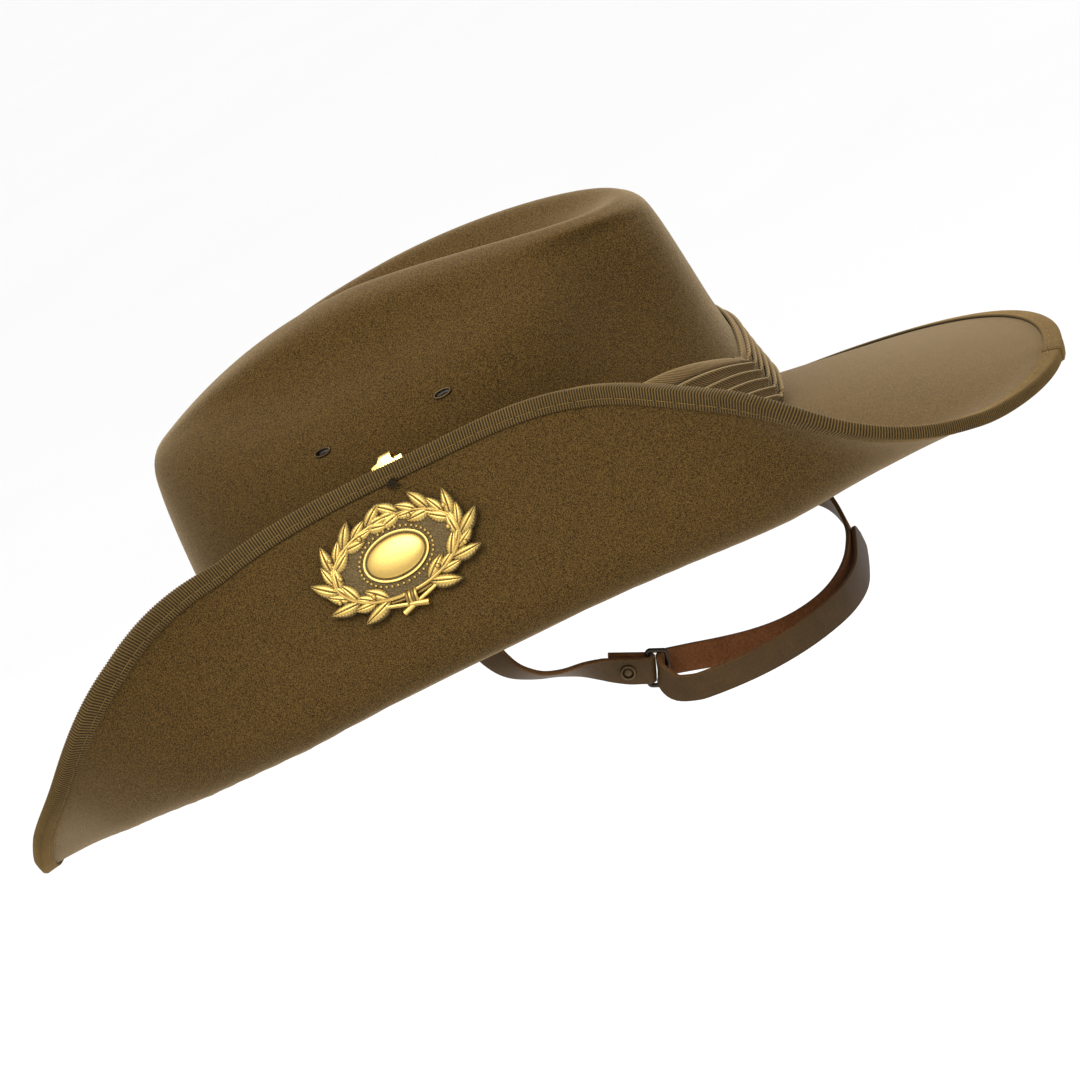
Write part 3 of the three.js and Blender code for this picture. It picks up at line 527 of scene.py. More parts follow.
def rgba(value):
    """A colour, or a grey from one number, with full opacity."""
    return (*value, 1) if isinstance(value, tuple) else (value, value, value, 1)


class Look:
    """A material and its nodes, in the object's own coordinates."""

    def __init__(self, name):
        self.material = bpy.data.materials.new(name)
        self.material.use_nodes = True
        self.tree = self.material.node_tree
        self.shader = self.tree.nodes["Principled BSDF"]
        self.where = self.tree.nodes.new("ShaderNodeTexCoord").outputs["Object"]

    def plug(self, socket, value):
        """Links another node's output to a socket, or sets the socket's own value."""
        if isinstance(value, bpy.types.NodeSocket):
            self.tree.links.new(value, socket)
        else:
            socket.default_value = rgba(value) if socket.type == "RGBA" else value

    def fill(self, made, values):
        for name, value in values.items():
            self.plug(made.inputs[name], value)

    def node(self, kind, output, values, **settings):
        made = self.tree.nodes.new(kind)
        for name, value in settings.items():
            setattr(made, name, value)
        self.fill(made, values)
        return made.outputs[output]

    def shade(self, values):
        self.fill(self.shader, values)

    def noise(self, scale, detail=3.0, roughness=0.55):
        values = {"Vector": self.where, "Scale": scale, "Detail": detail, "Roughness": roughness}
        return self.node("ShaderNodeTexNoise", "Fac", values)

    def cells(self, scale):
        return self.node("ShaderNodeTexVoronoi", "Distance", {"Vector": self.where, "Scale": scale})

    def relief(self):
        return self.node("ShaderNodeAttribute", "Fac", {}, attribute_name="relief")

    def ramp(self, source, low, dark, high, light):
        """Fades from dark to light while the source goes from low to high."""
        made = self.tree.nodes.new("ShaderNodeValToRGB")
        self.plug(made.inputs["Fac"], source)
        for element, place, colour in zip(made.color_ramp.elements, (low, high), (dark, light)):
            element.position = place
            element.color = rgba(colour)
        return made.outputs["Color"]

    def blend(self, share, a, b):
        return self.node("ShaderNodeMix", 2, {0: share, 6: a, 7: b}, data_type="RGBA")

    def maths(self, operation, a, b):
        return self.node("ShaderNodeMath", 0, {0: a, 1: b}, operation=operation)

    def bump(self, height, distance, strength):
        """Fine relief on top of any that the shader already has."""
        normal = self.shader.inputs["Normal"]
        values = {"Strength": strength, "Distance": distance, "Height": height}
        if normal.is_linked:
            values["Normal"] = normal.links[0].from_socket
        self.plug(normal, self.node("ShaderNodeBump", "Normal", values))


def felt_material():
    look = Look("felt")
    cloud = look.noise(22, 3, 0.6)
    mottle = look.noise(120, 3, 0.6)
    grain = look.noise(1800, 2, 0.6)
    flecks = look.noise(3600, 1, 0.5)
    base = look.ramp(cloud, 0.3, srgb(54, 37, 13), 0.7, srgb(62, 44, 17))
    base = look.blend(0.14, base, look.ramp(mottle, 0.35, srgb(46, 32, 11), 0.65, srgb(70, 51, 22)))
    base = look.blend(0.55, base, look.ramp(grain, 0.36, srgb(20, 12, 3), 0.64, srgb(90, 67, 30)))
    base = look.blend(0.36, base, look.ramp(flecks, 0.42, srgb(22, 14, 4), 0.6, srgb(112, 87, 46)))
    look.shade({"Base Color": base, "Roughness": 0.95, "Specular IOR Level": 0.08})
    look.shade({"Sheen Weight": 0.4, "Sheen Roughness": 0.33, "Sheen Tint": (0.95, 0.75, 0.47)})
    nap = look.maths("ADD", look.maths("MULTIPLY", grain, 0.6), look.maths("MULTIPLY", flecks, 0.4))
    look.bump(nap, 0.00022, 0.75)
    look.bump(mottle, 0.0009, 0.08)
    return look.material


def ribbon_material():
    look = Look("ribbon")
    patch = look.noise(60)
    grain = look.noise(3200, 2)
    ridge = look.ramp(patch, 0.3, srgb(94, 71, 33), 0.7, srgb(110, 85, 44))
    # painted shade: where the relief is low, in the grooves between the ribs and at the ribbon's edges, the
    # colour goes to near black
    groove_shade = (0.004, 0.0022, 0.0006)
    base = look.blend(look.ramp(look.relief(), 0.35, 0, 0.95, 1), groove_shade, ridge)
    base = look.blend(0.18, base, look.ramp(grain, 0.3, 0.01, 0.7, srgb(138, 116, 74)))
    look.shade({"Base Color": base, "Roughness": 0.8, "Specular IOR Level": 0.06})
    look.shade({"Sheen Weight": 0.05, "Sheen Tint": (0.94, 0.76, 0.5)})
    look.bump(grain, 0.0001, 0.5)
    return look.material


def thread_material(name, dark, light):
    look = Look(name)
    twist = look.noise(2400, 2)
    base = look.ramp(twist, 0.3, dark, 0.7, light)
    look.shade({"Base Color": base, "Roughness": 0.8, "Specular IOR Level": 0.1})
    look.bump(twist, 0.00008, 0.6)
    return look.material


def cotton_material():
    look = Look("cotton_twill")
    run = look.node("ShaderNodeUVMap", "UV", {}, uv_map="run")
    slanted = {"Vector": run, "Rotation": (0, 0, math.radians(58))}
    twill = {
        "Vector": look.node("ShaderNodeMapping", "Vector", slanted),
        "Scale": 0.42,
        "Distortion": 0.25,
        "Detail": 1.0,
    }
    lines = look.node("ShaderNodeTexWave", "Fac", twill)
    patch = look.noise(45)
    fuzz = look.noise(2600, 2)
    relief = look.relief()
    light = look.ramp(patch, 0.3, srgb(108, 84, 46), 0.7, srgb(123, 97, 56))
    dark = look.ramp(patch, 0.3, srgb(46, 32, 12), 0.7, srgb(56, 40, 18))
    # painted shade: under half relief, on the lower part of each strip and where strips lie under others,
    # the colour fades to near black
    deep = (0.014, 0.009, 0.004)
    base = look.blend(look.ramp(lines, 0.2, 0.12, 0.75, 1), dark, light)
    base = look.blend(look.ramp(relief, 0.0, 0, 0.5, 1), deep, base)
    # painted highlight: where the relief is highest, along the top edge of each fold, the colour is
    # lightened
    base = look.blend(look.ramp(relief, 0.8, 0, 1.0, 0.55), base, srgb(124, 103, 64))
    base = look.blend(0.15, base, look.ramp(fuzz, 0.3, 0.015, 0.7, srgb(136, 115, 76)))
    look.shade({"Base Color": base, "Roughness": 0.88, "Specular IOR Level": 0.1})
    look.shade({"Sheen Weight": 0.2, "Sheen Tint": (0.95, 0.77, 0.52)})
    look.bump(lines, 0.00014, 0.8)
    look.bump(fuzz, 0.00006, 0.5)
    return look.material


def metal_material(name, bright, dark, low, high, rough_bright, rough_dark, stipple=0):
    """Metal that is bright where the relief is high and darkened where it is low."""
    look = Look(name)
    relief = look.relief()
    patch = look.noise(260, 4, 0.65)
    pit = look.noise(900, 3, 0.6)
    worn = look.maths("MULTIPLY", look.maths("SUBTRACT", patch, 0.5), 0.22)
    share = look.ramp(look.maths("ADD", relief, worn), low, 0, high, 1)
    uneven = look.maths("MULTIPLY", look.maths("SUBTRACT", pit, 0.5), 0.16)
    rough = look.maths("ADD", look.blend(share, rough_dark, rough_bright), uneven)
    look.shade({"Base Color": look.blend(share, dark, bright), "Roughness": rough, "Metallic": 1.0})
    look.bump(pit, 0.00004, 0.7)
    if stipple:
        sunk = look.ramp(relief, 0.1, 1, 0.25, 0)
        look.bump(look.maths("MULTIPLY", look.cells(stipple), sunk), 0.0003, 0.9)
    return look.material


def leather_material(name, dark, light, rough, scale, depth, fibre=False):
    look = Look(name)
    fine = look.noise(scale, 4, 0.65)
    base = look.ramp(look.noise(90, 4, 0.6), 0.3, dark, 0.7, light)
    darker = tuple(0.55 * c for c in dark)
    lighter = tuple(1.35 * c for c in light)
    base = look.blend(0.45 if fibre else 0.25, base, look.ramp(fine, 0.35, darker, 0.65, lighter))
    look.shade({"Base Color": base, "Roughness": rough, "Specular IOR Level": 0.08 if fibre else 0.16})
    height = fine
    if fibre:
        look.shade({"Sheen Weight": 0.15, "Sheen Tint": (0.95, 0.72, 0.5)})
    else:
        height = look.maths("ADD", look.cells(scale * 0.9), look.maths("MULTIPLY", fine, 0.5))
    look.bump(height, depth, 0.6)
    return look.material


felt_look = felt_material()
ribbon_look = ribbon_material()
stitch_look = thread_material("stitch_thread", srgb(84, 64, 32), srgb(122, 97, 54))
knot_look = thread_material("knot_thread", srgb(22, 16, 8), srgb(52, 40, 22))
cotton_look = cotton_material()
badge_look = metal_material(
    "badge_brass", (0.6, 0.405, 0.115), (0.12, 0.084, 0.038), 0.46, 0.82, 0.4, 0.6, stipple=1500
)
hook_look = metal_material("hook_brass", (0.86, 0.6, 0.19), (0.5, 0.32, 0.09), 0.2, 0.5, 0.3, 0.42)
bronze_look = metal_material("dark_bronze", (0.075, 0.05, 0.024), (0.02, 0.013, 0.006), 0.3, 0.8, 0.42, 0.6)
wire_look = metal_material("black_wire", (0.045, 0.036, 0.026), (0.012, 0.009, 0.006), 0.3, 0.8, 0.34, 0.5)
grain_look = leather_material("leather_grain", srgb(52, 36, 13), srgb(68, 48, 20), 0.6, 1500, 0.00005)
flesh_look = leather_material(
    "leather_flesh", srgb(88, 52, 26), srgb(110, 68, 38), 0.85, 1300, 0.00012, fibre=True
)
edge_look = leather_material("leather_edge", srgb(66, 42, 18), srgb(96, 66, 34), 0.6, 1800, 0.00008, True)


# Felt body


def bend_rows(angle, out, count):
    """The small round from crown to brim, between their lowest and innermost rings."""
    start = on_crown(angle, 0.0, out)
    end = on_brim(angle, BREAK_RADIUS, out)
    corner = opening_point(angle) + vec(0, 0, 0.6) * out
    rows = []
    for i in range(1, count + 1):
        t = i / (count + 1)
        rows.append((1 - t) ** 2 * start + 2 * t * (1 - t) * corner + t * t * end)
    return rows


# The last ring is just short of the section where the crown closes in a line
LAST_SECTION = 10.97


def felt_skin(angle, out, crown_rows, brim_rows):
    """Rings of one face of the felt, from the crown's top to the brim's edge."""
    sections = LAST_SECTION - LAST_SECTION * np.linspace(0, 1, crown_rows) ** 0.94
    rings = [on_crown(angle, section, out) for section in sections]
    rings += bend_rows(angle, out, 4)
    reaches = mix(BREAK_RADIUS, BRIM, np.linspace(0, 1, brim_rows))
    return rings + [on_brim(angle, reach, out) for reach in reaches]


def vent_frames():
    frames = []
    for side in (1, -1):
        for along in VENT_PLACES:
            angle = math.asin(along / half_length)
            start = (angle if side > 0 else math.pi - angle, 4.0)
            a, s = seek(crown_point, start, along, VENT_LEVEL)
            point, normal = offset(crown_point, a, s, 0.0)
            frames.append(Frame(point, normal, vec(0, 0, 1)))
    return frames


vents = vent_frames()


def oval(wide, tall, z, count=32):
    t = np.arange(count) / count * 2 * np.pi
    return np.stack([wide * np.cos(t), tall * np.sin(t), np.full(count, float(z))], -1)


def felt_body():
    angle = np.arange(FELT_COLUMNS) / FELT_COLUMNS * 2 * np.pi
    rings = felt_skin(angle, 0.0, *OUTER_ROWS) + felt_skin(angle, -FELT, *INNER_ROWS)[::-1]
    top = crown_point(0.0, float(len(CROWN["mid"]) - 1))
    first = np.broadcast_to(top, rings[0].shape)
    last = np.broadcast_to(top - vec(0, 0, FELT), rings[0].shape)
    shell = Shell().add([first, *rings, last], wrap_cols=True)
    body = shell.piece("felt", "felt", ("felt_body",), [felt_look])
    bpy.context.view_layer.update()
    cutters = Shell()
    inset = VENT_RIM - 0.15
    for place in vents:
        rows = [
            place.at(oval(VENT_WIDTH / 2 - inset, VENT_HEIGHT / 2 - inset, z)) for z in (-FELT * 2.5, FELT)
        ]
        cutters.add(np.stack(rows, 1), wrap_rows=True, caps=True)
    cutter = add_mesh("vent_cutters", np.concatenate(cutters.points), cutters.faces)
    weld = body.modifiers.new("weld", "WELD")
    weld.merge_threshold = 1e-6
    cut = body.modifiers.new("vents", "BOOLEAN")
    cut.object = cutter
    cut.operation = "DIFFERENCE"
    cut.solver = "EXACT"
    apply_modifiers(body)
    bpy.data.objects.remove(cutter)
    return sharpen(body, 50)


felt_body()


# Vent eyelets: oval dark bronze rings with a short tube through the felt


def eyelet(place, name, replaced):
    """Rings of one eyelet: how far in from its edge, out of the felt, and relief."""
    rings = [
        (0.0, 0.12, 0.35),
        (0.02, 0.3, 0.5),
        (0.14, 0.5, 0.9),
        (0.34, 0.62, 1.0),
        (0.56, 0.58, 0.9),
        (0.76, 0.4, 0.6),
        (0.9, 0.05, 0.3),
        (0.95, -0.5, 0.1),
        (0.95, -FELT, 0.0),
        (0.7, -FELT, 0.0),
        (0.7, 0.0, 0.1),
        (0.3, 0.1, 0.1),
    ]
    grid = [place.at(oval(VENT_WIDTH / 2 - inset, VENT_HEIGHT / 2 - inset, z)) for inset, z, _ in rings]
    relief = [[high] for _, _, high in rings]
    shell = Shell().add(grid, wrap_rows=True, wrap_cols=True, relief=relief)
    return sharpen(shell.piece(name, "eyelet_metal", (replaced,), [bronze_look]), 60)


vent_names = ["turned_front", "turned_back", "plain_front", "plain_back"]
for place, label in zip(vents, vent_names):
    eyelet(place, f"eyelet_{label}", f"vent_eyelet_{label}")


# Ribbed binding over the brim's edge


def edge_run(samples=6000):
    """Angles against the length along the brim's edge."""
    angle = np.linspace(0, 2 * np.pi, samples + 1)
    return angle, run_of(brim_point(angle, BRIM))


edge_angle, edge_length = edge_run()
edge_total = edge_length[-1]
joint_run = np.interp(math.radians(JOINT_PLACE), edge_angle, edge_length)


def from_joint(run):
    """Length along the edge to the place where the ribbon's ends meet."""
    return np.abs((run - joint_run + edge_total / 2) % edge_total - edge_total / 2)


def binding():
    ribs = int(round(edge_total / RIB_PITCH))
    columns = ribs * RIB_COLUMNS
    run = np.arange(columns) / columns * edge_total
    angle = np.interp(run, edge_length, edge_angle)
    rib = np.cos(run / edge_total * ribs * 2 * np.pi)
    inside = BRIM + GAP * 0.5
    far = inside + BINDING
    near = BRIM - BINDING_WIDTH
    face = BINDING + 0.15
    # reach, out, share of the rib relief, which also sets painted shade in the grooves between ribs and at
    # the open edges
    upper = [
        (near, 0.08, 0.0),
        (near - 0.02, face * 0.62, 0.9),
        (near + 0.35, face, 1.0),
        (near + 1.7, face, 1.0),
        (near + STITCH_LINE, face - 0.16, 0.7),
        (near + 2.3, face, 1.0),
        (near + 3.8, face, 1.0),
        (far - 0.55, face, 1.0),
        (far - 0.12, face - 0.45, 1.0),
    ]
    middle = -FELT / 2
    lower = [(reach, -FELT - out, share) for reach, out, share in upper[::-1]]
    profile = [*upper, (far, middle, 1.0), *lower, (inside, middle, 0.0)]
    # the ribbon's end is folded and laps over its start
    lap = LAP * smoothstep(from_joint(run), LAP_REACH + 0.2, LAP_REACH - 0.4)
    grid = []
    relief = []
    for reach, out, share in profile:
        amount = RIB_HEIGHT * rib * share + lap * (share > 0)
        edge = out == middle
        r = reach + (amount if edge or reach > far - 0.3 else 0)
        o = out if edge else out + np.sign(out - middle) * amount
        grid.append(on_brim(angle, r, np.broadcast_to(o, angle.shape)))
        # low relief is painted as shade by the ribbon's material
        relief.append((0.5 + 0.5 * rib) * share)
    shell = Shell().add(grid, wrap_rows=True, wrap_cols=True, relief=relief)
    return shell.piece("binding", "ribbon", ("brim_binding",), [ribbon_look])


binding()


def binding_stitches():
    """Lockstitch near the ribbon's open edges, on both faces."""
    shell = Shell()
    count = int(round(edge_total / STITCH_PITCH))
    reach = BRIM - BINDING_WIDTH + STITCH_LINE
    t = np.linspace(0, 1, 9)
    rise = 0.13 * np.minimum(1, np.sin(np.pi * t) * 3)
    for side in (0, 1):
        for start in (np.arange(count) + 0.1) * edge_total / count:
            run = (start + t * STITCH_PITCH * STITCH_SHARE) % edge_total
            lift = BINDING + 0.05 + rise + (LAP if from_joint(start) < LAP_REACH else 0)
            out = lift if side == 0 else -FELT - lift
            line = on_brim(np.interp(run, edge_length, edge_angle), reach, out)
            shell.add(tube(line, STITCH_RADIUS, 5), wrap_rows=True, caps=True)
    return shell.piece("binding_stitches", "ribbon", (), [stitch_look])


binding_stitches()


# Pleated band


CHEVRON = math.radians(90 - CHEVRON_PLACE)


def chevron_share(angle):
    """0 at the chevron's point, 1 where the band's edge is level again."""
    return np.clip(apart(angle, CHEVRON) / math.radians(CHEVRON_REACH), 0, 1)


def band_top(angle):
    return mix(BAND_NOTCH, BAND_HEIGHT, 1 - (1 - chevron_share(angle)) ** 1.8)


# Sections of a fold in shares of its pitch: across, out, relief. The relief paints shade low in each fold
# and a highlight along its top edge.
FOLD = [
    (-0.3, 1.35, 0.0),
    (0.0, 1.7, 0.2),
    (0.2, 1.95, 0.45),
    (0.45, 2.3, 0.62),
    (0.62, 2.7, 0.72),
    (0.74, 3.12, 0.82),
    (0.84, 3.38, 0.95),
    (0.93, 3.38, 1.0),
    (1.01, 3.1, 1.0),
    (1.04, 2.65, 0.75),
    (0.99, 2.15, 0.2),
    (0.86, 1.75, 0.0),
    (0.4, 1.2, 0.0),
    (-0.28, 0.9, 0.0),
]
TOP_FOLD = [
    (-0.2, 1.3, 0.0),
    (0.0, 1.75, 0.25),
    (0.14, 2.0, 0.5),
    (0.4, 2.05, 0.62),
    (0.7, 1.9, 0.7),
    (0.88, 1.65, 0.86),
    (0.96, 1.45, 1.0),
    (1.0, 1.1, 0.9),
    (0.98, 0.4, 0.3),
    (0.5, 0.32, 0.0),
    (-0.2, 0.32, 0.0),
]
NARROW_TOP = 0.1
SUNK_FOOT = -2.0
LOWEST_OUTSIDE = 1.5
LOWEST_INSIDE = 2.9
RUN_LEVEL = 20.0


def pleated_band():
    """Strips of cotton laid over each other; each runs once round and ends at the chevron."""
    w = np.linspace(0, 1, BAND_COLUMNS)
    # columns stand closer near the chevron
    w = w - 0.055 * np.sin(2 * np.pi * w)
    shift = mix(-0.24, 0.24, smoothstep(w, 0.05, 0.95))
    shell = Shell()
    for k in range(PLEATS):
        is_top = k == PLEATS - 1
        # the line of the chevron slants a little, so lower strips end further round
        slant = math.radians(2.1) * (1 - k / (PLEATS - 1))
        start = CHEVRON - math.radians(0.4) + slant
        stop = start - 2 * np.pi - math.radians(3.4)
        angle = start + (stop - start) * w
        run = run_of(wall_at(angle, np.full(BAND_COLUMNS, RUN_LEVEL)))
        total = run[-1]
        near = 1 - chevron_share(angle)
        top = band_top(angle)
        foot = mix(BAND_FOOT, SUNK_FOOT, near**4)
        top_share = mix(TOP_PLEAT, NARROW_TOP, near)
        pitch = (1 - top_share) / (PLEATS - 1)
        # far ends tuck under the near ends, whose corners are rounded
        tuck = 1.05 * smoothstep(run, total - 8.0, total - 4.6)
        # painted shade: the relief drops on the far end of each strip, where it lies under the near end
        tucked_shade = 1 - 0.6 * smoothstep(run, total - 6.6, total - 5.2)
        corner = 0.32 * np.clip(1 - run / 1.4, 0, 1) ** 2
        lift = 0.3 * smoothstep(run, 6, 1)
        thin = 0.3 + 0.7 * smoothstep(run, -0.3, 0.7)
        section = TOP_FOLD if is_top else FOLD
        ease = 0.45 if is_top else 1.0
        tall = top_share if is_top else pitch
        wander = 0.03 * np.sin(w * 34 + k * 2.1) + 0.025 * np.sin(w * 71 + k * 4.7)
        grid = []
        relief = []
        across = []
        for u, out, high in section:
            place = u + wander * ease - corner * max(0, u - 0.3)
            share = k * pitch + place * tall + shift * pitch * ease
            deep = out < 1.3 or (is_top and out < 0.5)
            level = np.maximum(mix(foot, top, share), LOWEST_INSIDE if deep else LOWEST_OUTSIDE)
            o = mix(1.1, out, thin) - tuck * ease + lift * ease
            grid.append(on_wall(angle, level, np.maximum(o, 0.3)))
            relief.append(high * tucked_shade)
            across.append(u * 4.2 * (1.5 if is_top else 1))
        v = np.array(across + [across[0]])
        u = np.concatenate([run, [run[-1]]])
        shell.add(np.array(grid), wrap_rows=True, u=u, v=v, caps=True, relief=np.array(relief))
    return shell.piece("puggaree", "cotton", ("puggaree_band",), [cotton_look])


pleated_band()


# Hook and catch


def surface_up(angle, reach):
    return unit(on_brim(angle, reach, 0.0) - on_brim(angle, reach - 1, 0.0))


hook_start = (HOOK_PLACE / half_length, float(BRIM))
hook_level = brim_point(HOOK_PLACE / (half_length * 1.7), BRIM)[2]
hook_seat = seek(brim_point, hook_start, HOOK_PLACE, hook_level)
hook_edge = on_brim(hook_seat[0], BRIM, 0.0)
hook_up = surface_up(hook_seat[0], BRIM)
hook_out = -offset(brim_point, hook_seat[0], BRIM, 0.0)[1]
hook_frame = Frame(hook_edge, hook_out, hook_up)
crown_seat = seek(crown_point, (HOOK_PLACE / half_length, 4.0), hook_edge[1], hook_edge[2] + 3.5)
catch_point, catch_normal = offset(crown_point, crown_seat[0], crown_seat[1], 0.0)
catch_frame = Frame(catch_point, catch_normal, vec(0, 0, 1))
plate_back = GAP * 2 + BINDING + 0.2


def prism(place, outline, thickness, z):
    """Points and faces of an outline raised along a frame's z."""
    count = len(outline)
    points = [place.at(vec(x, y, level)) for level in (z, z + thickness) for x, y in outline]
    faces = [list(range(count))[::-1], list(range(count, 2 * count))]
    for i in range(count):
        j = (i + 1) % count
        faces.append([i, j, count + j, count + i])
    return points, faces


def catch_bar():
    crown_local = hook_frame.local(catch_point)
    bar = catch_frame.local(hook_frame.at(vec(0, HOOK_TONGUE - 0.1, crown_local[2])))
    return vec(0, bar[1], CATCH_STAND)


bar = catch_bar()


def hook():
    half = HOOK_WIDTH / 2
    tongue = HOOK_TONGUE / 2
    plate = [
        (-half, 2.9),
        (-half, -4.5),
        (half, -4.5),
        (half, 2.9),
        (tongue + 0.9, 3.5),
        (tongue, 4.6),
        (-tongue, 4.6),
        (-tongue, 3.0),
        (-tongue - 0.6, 2.5),
    ]
    points, faces = prism(hook_frame, plate, HOOK_METAL, plate_back)
    middle = plate_back + HOOK_METAL / 2
    reach = (CATCH_WIRE + HOOK_METAL) / 2 + GAP * 2
    bend = []
    for y, z in [
        (reach, -reach * 0.75),
        (reach, reach * 0.3),
        (reach * 0.4, reach * 0.93),
        (-reach * 0.7, reach),
    ]:
        spot = hook_frame.local(catch_frame.at(vec(0, bar[1] + y, bar[2] - z)))
        bend.append((spot[1], spot[2]))
    line = [(3.4, middle), (4.6, middle + 0.2), (5.3, middle + 1.1)]
    line.append(((5.3 + bend[0][0]) / 2, (middle + 1.1 + bend[0][1]) / 2))
    line = through(line + bend, np.linspace(0, 7, 28))
    run = unit(np.gradient(line, axis=0))
    start = len(points)
    count = len(line)
    for x, side in ((-tongue, -1), (tongue, -1), (tongue, 1), (-tongue, 1)):
        for i in range(count):
            y = line[i, 0] - run[i, 1] * side * HOOK_METAL / 2
            z = line[i, 1] + run[i, 0] * side * HOOK_METAL / 2
            points.append(hook_frame.at(vec(x, y, z)))
    for k in range(4):
        n = (k + 1) % 4
        for i in range(count - 1):
            a = start + k * count + i
            b = start + n * count + i
            faces.append([a, a + 1, b + 1, b])
    faces.append([start + k * count for k in range(4)])
    faces.append([start + k * count + count - 1 for k in range(4)][::-1])
    obj = add_mesh("hook", points, faces)
    obj.data.materials.append(hook_look)
    soft = obj.modifiers.new("edges", "BEVEL")
    soft.width = 0.16 * MM
    soft.segments = 3
    soft.limit_method = "ANGLE"
    soft.angle_limit = math.radians(25)
    made = apply_modifiers(obj)
    add_relief(made, np.full(len(made.vertices), 0.8))
    return dress(sharpen(obj, 40), ("brim_hook",))


hook()


def catch():
    half = HOOK_TONGUE / 2 + 1.3
    shell = Shell()
    foot = 0.05
    base = [
        (-half - 1, bar[1] - 2.6),
        (half + 1, bar[1] - 2.6),
        (half + 1, bar[1] - 0.2),
        (-half - 1, bar[1] - 0.2),
    ]
    rows = [[catch_frame.at(vec(x, y, z)) for z in (foot, foot + CATCH_BASE)] for x, y in base]
    shell.add(rows, wrap_rows=True, caps=True, relief=0.7)
    height = bar[2]
    leg = [(half, -1.6, foot + 0.3), (half, -1.2, height * 0.45), (half, -0.3, height * 0.85)]
    leg += [(half - 0.5, 0, height), (half * 0.4, 0, height)]
    line = [(-x, y, z) for x, y, z in leg] + leg[::-1]
    line = through(line, np.linspace(0, len(line) - 1, 48))
    line[:, 1] += bar[1]
    shell.add(tube(catch_frame.at(line), CATCH_WIRE / 2, 10), wrap_rows=True, caps=True, relief=0.6)
    return sharpen(shell.piece("catch", "hook_metal", ("crown_catch",), [hook_look]), 40)


catch()


def thread_knot():
    """Dark thread that holds the hook, knotted on the outside of the binding."""
    shell = Shell()
    back = Frame(hook_edge, -hook_out, hook_up)
    face = FELT + GAP + 0.35
    thread = 0.27
    loops = [
        (0.6, -5.1, 1.25, 0.7, 0.5, 0.2),
        (-0.2, -5.8, 0.95, 1.1, 0.35, 1.3),
        (0.9, -6.3, 1.1, 0.6, 0.6, 2.4),
    ]
    for x, y, wide, tall, high, twist in loops:
        t = np.linspace(0, 2 * np.pi, 25)[:-1]
        level = face + 0.3 + high * (0.5 + 0.5 * np.sin(2 * t + twist))
        line = np.stack([*turned_point(x, y, wide * np.cos(t), tall * np.sin(t), twist), level], -1)
        shell.add(tube(back.at(line), thread, 7, closed=True), wrap_rows=True, wrap_cols=True)
    for x, y, dx, dy in [(1.2, -6.4, 1.7, -1.1), (-0.8, -5.5, -1.6, 0.2)]:
        t = np.linspace(0, 1, 9)
        line = np.stack([x + dx * t, y + dy * t, face + 0.25 + 0.5 * np.sin(np.pi * t)], -1)
        shell.add(tube(back.at(line), 0.2, 7), wrap_rows=True, caps=True)
    return shell.piece("hook_thread", "ribbon", (), [knot_look])


thread_knot()


# Badge: a wreath of laurel tied below a plain oval boss


def badge_frame():
    start = (BADGE_PLACE / (half_length * 1.7), BRIM * 0.65)
    seat = seek(brim_point, start, BADGE_PLACE, BADGE_LEVEL)
    point, normal = offset(brim_point, seat[0], seat[1], FELT)
    place = Frame(point, normal, vec(0, 0, 1))
    a, b = np.meshgrid(np.arange(-24, 25), np.arange(-24, 25), indexing="ij")
    spots = place.local(on_brim(seat[0] + a * 0.02, seat[1] + b * 1.5, -FELT))
    inside = np.hypot(spots[..., 0] / BADGE_WIDTH, spots[..., 1] / BADGE_HEIGHT) < 0.55
    proud = max(0.0, spots[..., 2][inside].max())
    return Frame(point + normal * (proud + GAP + 0.2), normal, vec(0, 0, 1))


badge_place = badge_frame()


def leaf(shell, x, y, angle, long, wide, low, high, bend):
    u, v = np.meshgrid(np.linspace(0, 1, 22), np.linspace(-1, 1, 17), indexing="xy")
    half = wide / 2 * np.sin(np.pi * u**0.82) ** 0.85 + 0.05
    ridge = np.exp(-((v / 0.11) ** 2))
    veins = np.cos((u * long * 1.9 - np.abs(v) * 2.4) * 2 * np.pi / 1.9)
    body = (1 - np.abs(v) ** 2.4) * np.sin(np.pi * (u * 0.94 + 0.03)) ** 0.5
    height = body * (1 - 0.3 * ridge) + 0.07 * veins * (1 - ridge) * body
    top = mix(low + (high - low) * 0.25, high, height)
    relief = 0.25 + 0.7 * body - 0.5 * ridge + 0.16 * veins * (1 - ridge)
    upper = np.stack([*turned_point(x, y, u * long, v * half + bend * u * u * long, angle), top], -1)
    lower = upper[[-1, 0]]
    lower[..., 2] = low
    grid = badge_place.at(np.concatenate([upper, lower]))
    shell.add(grid, wrap_rows=True, caps=True, relief=np.concatenate([relief, 0 * relief[:2]]))


def stack_ovals(shell, place, rings, count, x=0, y=0):
    """A closed form through rings of half width, half height, z and relief."""
    grid = []
    for wide, tall, z, _ in rings:
        grid.append(place.at(oval(max(wide, 1e-3), max(tall, 1e-3), z, count) + vec(x, y, 0)))
    shell.add(grid, wrap_cols=True, relief=[[high] for *_, high in rings])


